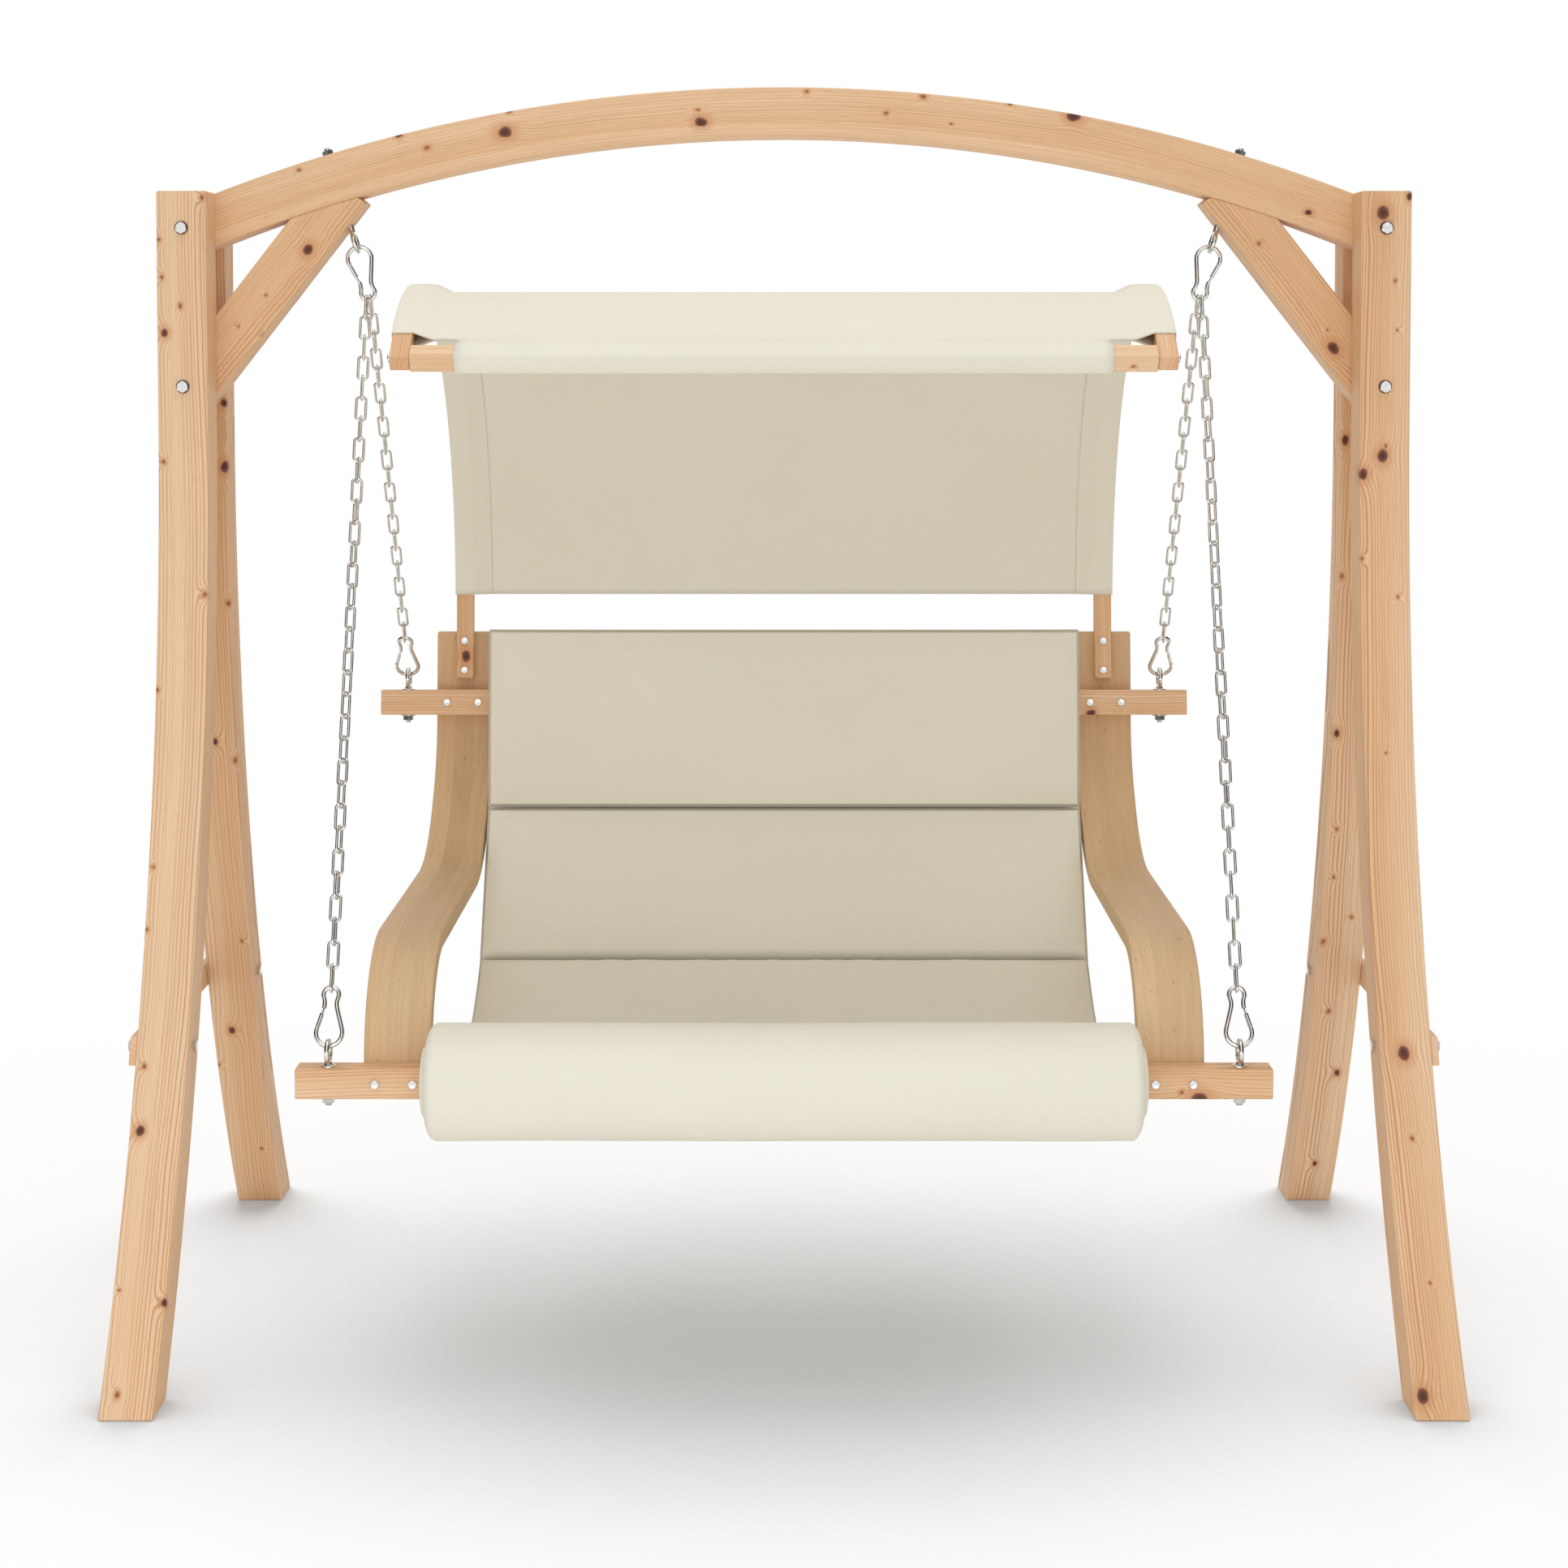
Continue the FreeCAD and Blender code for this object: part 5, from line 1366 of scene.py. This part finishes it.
def roll(name):
    """The front roll, slightly uneven, with its cloth drawn tight over both ends."""
    half = roll_profile()
    rings, field = [], []
    for x, radius in [(-x, r) for x, r in half[:0:-1]] + half:
        ring, cloth = [], []
        loose = roll_unevenness * min(1, radius / roll_radius)
        for turn in circle(roll_around):
            spot = (x * 6, 2.2 * math.cos(turn))
            reach = radius * (1 + loose * (pucker(spot, 2.2 * math.sin(turn)) - 0.2))
            ring.append((x, roll_centre[0] + reach * math.cos(turn), roll_centre[1] + reach * math.sin(turn)))
            cloth.append((x + math.copysign(roll_radius - radius, x), roll_radius * turn, 0.0))
        rings.append(ring)
        field.append(cloth)
    points, cloth = (np.array(rows).reshape(-1, 3) for rows in (rings, field))
    return mesh_object(name, points, loft_faces(len(rings), roll_around), {"cloth": cloth}, sharp_cover)


piece = roll("front_roll_cover")
seat_piece(piece, "cushion_cloth", cream, "front_roll")


# Sheets: the sling under the cushions and the canopy
sling_lap = 0.002
sling_skin = 0.0024
sling_columns = 25
hollow_steps = 60
loop_radius = 0.004
sling_bend_radius = 0.02


def run_lengths(path):
    """Length along a path at each of its points."""
    return np.concatenate([[0], np.cumsum(np.linalg.norm(np.diff(path, axis=0), axis=1))])


def thickened(piece, thickness):
    """Gives a sheet its thickness, half to each side."""
    skin = piece.modifiers.new("thickness", "SOLIDIFY")
    skin.thickness = thickness
    skin.offset = 0.0
    made = bpy.data.meshes.new_from_object(piece.evaluated_get(bpy.context.evaluated_depsgraph_get()))
    piece.modifiers.clear()
    piece.data = made
    return piece


def square_loop(centre, forward, half):
    """Corners round a square bar: from low behind, up, over and down in front."""
    up = np.array([-forward[1], forward[0]])
    up = up if up[1] > 0 else -up
    return [centre + forward * (half * f) + up * (half * u) for f, u in ((-1, -1), (-1, 1), (1, 1), (1, -1))]


def sling_path():
    """The hammock in side view: round the rear bar, down the back, along the hollow, round the front bar."""
    reach = sling_front - sling_thickness / 2
    loop = square_loop(rear_bar, rear_forward, reach)
    radius = sling_radius + sling_thickness / 2
    corner = seat_point(radius, seat_crease_angle)
    bend = meet(rear_bar + rear_forward * reach, rear_up, corner, lower_way)
    behind = [loop[3] - rear_forward * sling_lap] + loop + [bend, corner]
    spots, _, _ = bent_run(behind, (loop_radius,) * 4 + (sling_bend_radius,), loop_radius)
    end_angle = -math.asin((seat_centre[0] - sling_front_y) / sling_radius)
    hollow = [seat_point(radius, a) for a in np.linspace(seat_crease_angle, end_angle, hollow_steps)[1:]]
    front = square_loop(front_bar, np.array([-1.0, 0.0]), reach)
    ahead = [hollow[-1]] + front[1:] + [front[0] + np.array([-sling_lap, 0.0])]
    ahead_spots, _, _ = bent_run(ahead, (loop_radius,) * 3, loop_radius)
    return np.array(list(spots) + hollow + list(ahead_spots[1:]))


def sling(name):
    path = sling_path()
    lengths = run_lengths(path)
    across = np.linspace(-sling_half_width, sling_half_width, sling_columns)
    points = [(x, y, z) for y, z in path for x in across]
    field = [(x, length, 0.0) for length in lengths for x in across]
    faces = loft_faces(len(path), len(across), closed=False, caps=False)
    return thickened(mesh_object(name, points, faces, {"cloth": field}, sharp_bend), sling_skin), lengths[-1]


piece, sling_length = sling("seat_sling_cloth")
seat_piece(piece, "sling_cloth", cream, "seat_sling")

canopy_skin = fabric_gap + fabric_thickness / 2
canopy_stitch_x = arm_inner_x - 0.0025 - fabric_taper
canopy_rail_half = arm_inner_x - fabric_rail_bare
canopy_lap = 0.0012
canopy_drop = 0.0008
canopy_flat = 0.02
canopy_pace = 0.014
rail_lead = 0.016
rail_lap = 0.0026
sleeve_radii = (0.004, 0.003, 0.0025, 0.0025, 0.003, 0.005)
rail_radii = (0.02, 0.006, 0.003, 0.003, 0.006)


def canopy_section():
    """The cloth across the canopy, as (x, offset): the sleeve round one arm, the sheet, the other sleeve."""
    low, high = -canopy_skin, arm_thickness + canopy_skin
    middle = arm_thickness / 2
    inner, outer = arm_inner_x - canopy_skin, arm_outer_x + canopy_skin
    over, under = middle + canopy_lap, middle - canopy_drop
    sheet_x = canopy_stitch_x - canopy_flat
    turn = [np.array(p) for p in ((canopy_stitch_x - 0.004, over), (canopy_stitch_x, over), (inner, high),
                                  (outer, high), (outer, low), (inner, low), (canopy_stitch_x, under),
                                  (sheet_x, under))]
    spots, _, _ = bent_run(turn, sleeve_radii, 0.0012)
    half = list(spots) + [np.array([x, under]) for x in np.linspace(sheet_x, 0, 30)[1:]]
    return np.array(half + [np.array([-x, d]) for x, d in half[-2::-1]])


def canopy_rows(section):
    """The canopy's points row by row, each with its length along the cloth: from the rear hem over the arms,
    then round the front rail. Also gives how many rows lie on the arms."""
    spots, normals, lengths = arm_run
    hem_z = rear_bar[1] + fabric_hem_rise
    bare = lengths[-1] - fabric_bare_arm
    stations = [s for s in np.arange(0, bare, canopy_pace)
                if np.interp(s, lengths, spots[:, 1]) > hem_z or s > 0.5 * lengths[-1]] + [bare]
    rows = []
    for s in stations:
        spot = np.array([np.interp(s, lengths, spots[:, k]) for k in (0, 1)])
        normal = unit(np.array([np.interp(s, lengths, normals[:, k]) for k in (0, 1)]))
        rows.append([(x, *(spot + normal * d), s) for x, d in section])
    on_arms = len(rows)
    half = rail_size / 2 + canopy_skin
    start = arm_end - arm_end_out * (arm_thickness / 2) - arm_end_way * fabric_bare_arm
    lead = rail_centre - arm_end_way * (half + rail_lead)
    loop = [rail_centre + arm_end_way * (a * half) + arm_end_out * (b * half)
            for a, b in ((-1, 1), (1, 1), (1, -1), (-1, -1))]
    path = [start, lead] + loop + [lead - arm_end_out * rail_lap]
    loop_spots, _, loop_lengths = bent_run(path, rail_radii, 0.003)
    for spot, length in zip(loop_spots[1:], loop_lengths[1:]):
        rows.append([(x, *spot, bare + length) for x, _ in section])
    return rows, on_arms


def canopy(name):
    """One cloth over the arms that goes on into the sleeve round the front rail."""
    section = canopy_section()
    rows, on_arms = canopy_rows(section)
    on_rail = [abs(x) <= canopy_rail_half and abs(d - arm_thickness / 2) < 0.001 for x, d in section]
    run_across = run_lengths(section)
    points, field, faces, kept = [], [], [], {}
    for k, row in enumerate(rows):
        for j, (x, y, z, s) in enumerate(row):
            if k < on_arms or on_rail[j]:
                kept[k, j] = len(points)
                points.append((x, y, z))
                field.append((run_across[j], s, 0.0))
    for k in range(len(rows) - 1):
        for j in range(len(section) - 1):
            corners = [(k, j), (k, j + 1), (k + 1, j + 1), (k + 1, j)]
            if all(c in kept for c in corners):
                faces.append(tuple(kept[c] for c in corners))
    piece = thickened(mesh_object(name, points, faces, {"cloth": field}, sharp_bend), fabric_thickness)
    return piece, run_across[-1], rows[-1][0][3] - rows[0][0][3]


piece, canopy_width, canopy_length = canopy("canopy_cloth_cover")
seat_piece(piece, "canopy_cloth", cream, "canopy_fabric")

# Floor, light and camera
scene.view_settings.view_transform = "Standard"
floor_half = 9.0
floor_drop = 0.0005


def floor_material():
    """Pale floor that keeps the shadow and is white to the camera away from it."""
    tree = Tree("pale_floor")
    rays = tree.nodes.new("ShaderNodeLightPath")
    mirrored = tree.math("MAXIMUM", rays.outputs["Is Glossy Ray"], rays.outputs["Is Transmission Ray"])
    shown = tree.math("MAXIMUM", rays.outputs["Is Camera Ray"], mirrored)
    place = tree.put("NewGeometry", {}, out=0)
    away = tree.vector("LENGTH", tree.vector("MULTIPLY", place, (0.8, 1.0, 0.0)))
    far = tree.stretch(away, 1.2, 2.6)
    leaning = tree.put("CombineXYZ", {1: 0.55, 2: 0.84})
    open_share = tree.put("AmbientOcclusion", {"Distance": 1.0, "Normal": leaning}, out=1)
    lift = tree.stretch(open_share, 0.45, 0.90, 0.34, 1.0, "LINEAR")
    tone = tree.stretch(shown, 0.0, 1.0, 0.95, 0.34, "LINEAR")
    strength = tree.times(tree.times(shown, lift), 0.68)
    tree.finish(base_color=tree.even(tone, "CombineColor"), emission_color=(1, 1, 1, 1),
                emission_strength=strength, roughness=1.0, specular_ior_level=0.0)
    glow = tree.put("Emission", {"Color": (1, 1, 1, 1), "Strength": 1.0})
    blend = tree.nodes.new("ShaderNodeMixShader")
    tree.links.new(tree.times(far, shown), blend.inputs[0])
    tree.links.new(tree.shader.outputs[0], blend.inputs[1])
    tree.links.new(glow, blend.inputs[2])
    tree.links.new(blend.outputs[0], tree.nodes["Material Output"].inputs["Surface"])
    return tree.material


floor_corners = ((-1, -1), (1, -1), (1, 1), (-1, 1))
floor = mesh_object("floor", [(floor_half * a, floor_half * b, -floor_drop) for a, b in floor_corners],
                    [(0, 1, 2, 3)])
floor.data.materials.append(floor_material())


def area_light(name, place, target, size, power):
    light = bpy.data.lights.new(name, "AREA")
    light.shape = "RECTANGLE"
    light.size, light.size_y = size
    light.energy = power
    lamp = bpy.data.objects.new(name, light)
    lamp.location = place
    lamp.rotation_euler = (Vector(target) - Vector(place)).to_track_quat("-Z", "Y").to_euler()
    lamp.visible_camera = False
    scene.collection.objects.link(lamp)


area_light("top_light", (0.0, -0.2, 4.6), (0.0, -0.1, 0.8), (3.0, 2.4), 29.0)
area_light("front_light", (-0.4, -3.1, 0.55), (0.0, 0.0, 0.8), (3.4, 0.9), 14.0)

# Where the flags start and end, as a share of sideways, and what lies in front of and beside the object
flag_reach = (0.26, 0.72)
dome_levels = (0.96, 0.56)
mirror_levels = (1.0, 0.03)


class Sky(Tree):
    """A world's nodes, added by the same calls as a material's."""

    def __init__(self, name):
        self.world = bpy.data.worlds.new(name)
        self.world.use_nodes = True
        self.nodes = self.world.node_tree.nodes
        self.links = self.world.node_tree.links
        self.shader = self.nodes["Background"]


def studio_world():
    """A white room, darker to the left and right of the object, as between black flags."""
    tree = Sky("studio")
    rays = tree.nodes.new("ShaderNodeLightPath")
    seen = tree.math("MAXIMUM", rays.outputs["Is Camera Ray"], rays.outputs["Is Transmission Ray"])
    sideways = tree.split(tree.put("TexCoord", {}, out=0))[0]
    flag = tree.stretch(tree.math("ABSOLUTE", sideways), *flag_reach)
    dome = tree.stretch(flag, 0.0, 1.0, *dome_levels, "LINEAR")
    mirrored = tree.stretch(flag, 0.0, 1.0, *mirror_levels, "LINEAR")
    level = tree.stretch(rays.outputs["Is Glossy Ray"], 0.0, 1.0, dome, mirrored, "LINEAR")
    tree.fill(tree.shader.inputs["Color"], (1, 1, 1, 1))
    tree.fill(tree.shader.inputs["Strength"], tree.math("MAXIMUM", level, seen))
    return tree.world


scene.world = studio_world()

lens = bpy.data.cameras.new("photo_camera")
lens.sensor_width = 36.0
lens.lens = 66.823
lens.shift_y = -0.19
lens.clip_end = 60.0
camera = bpy.data.objects.new("photo_camera", lens)
camera.location = (0.0, -4.76255, 1.56606)
camera.rotation_euler = (math.radians(90 - 2.7747), 0.0, 0.0)
scene.collection.objects.link(camera)
scene.camera = camera
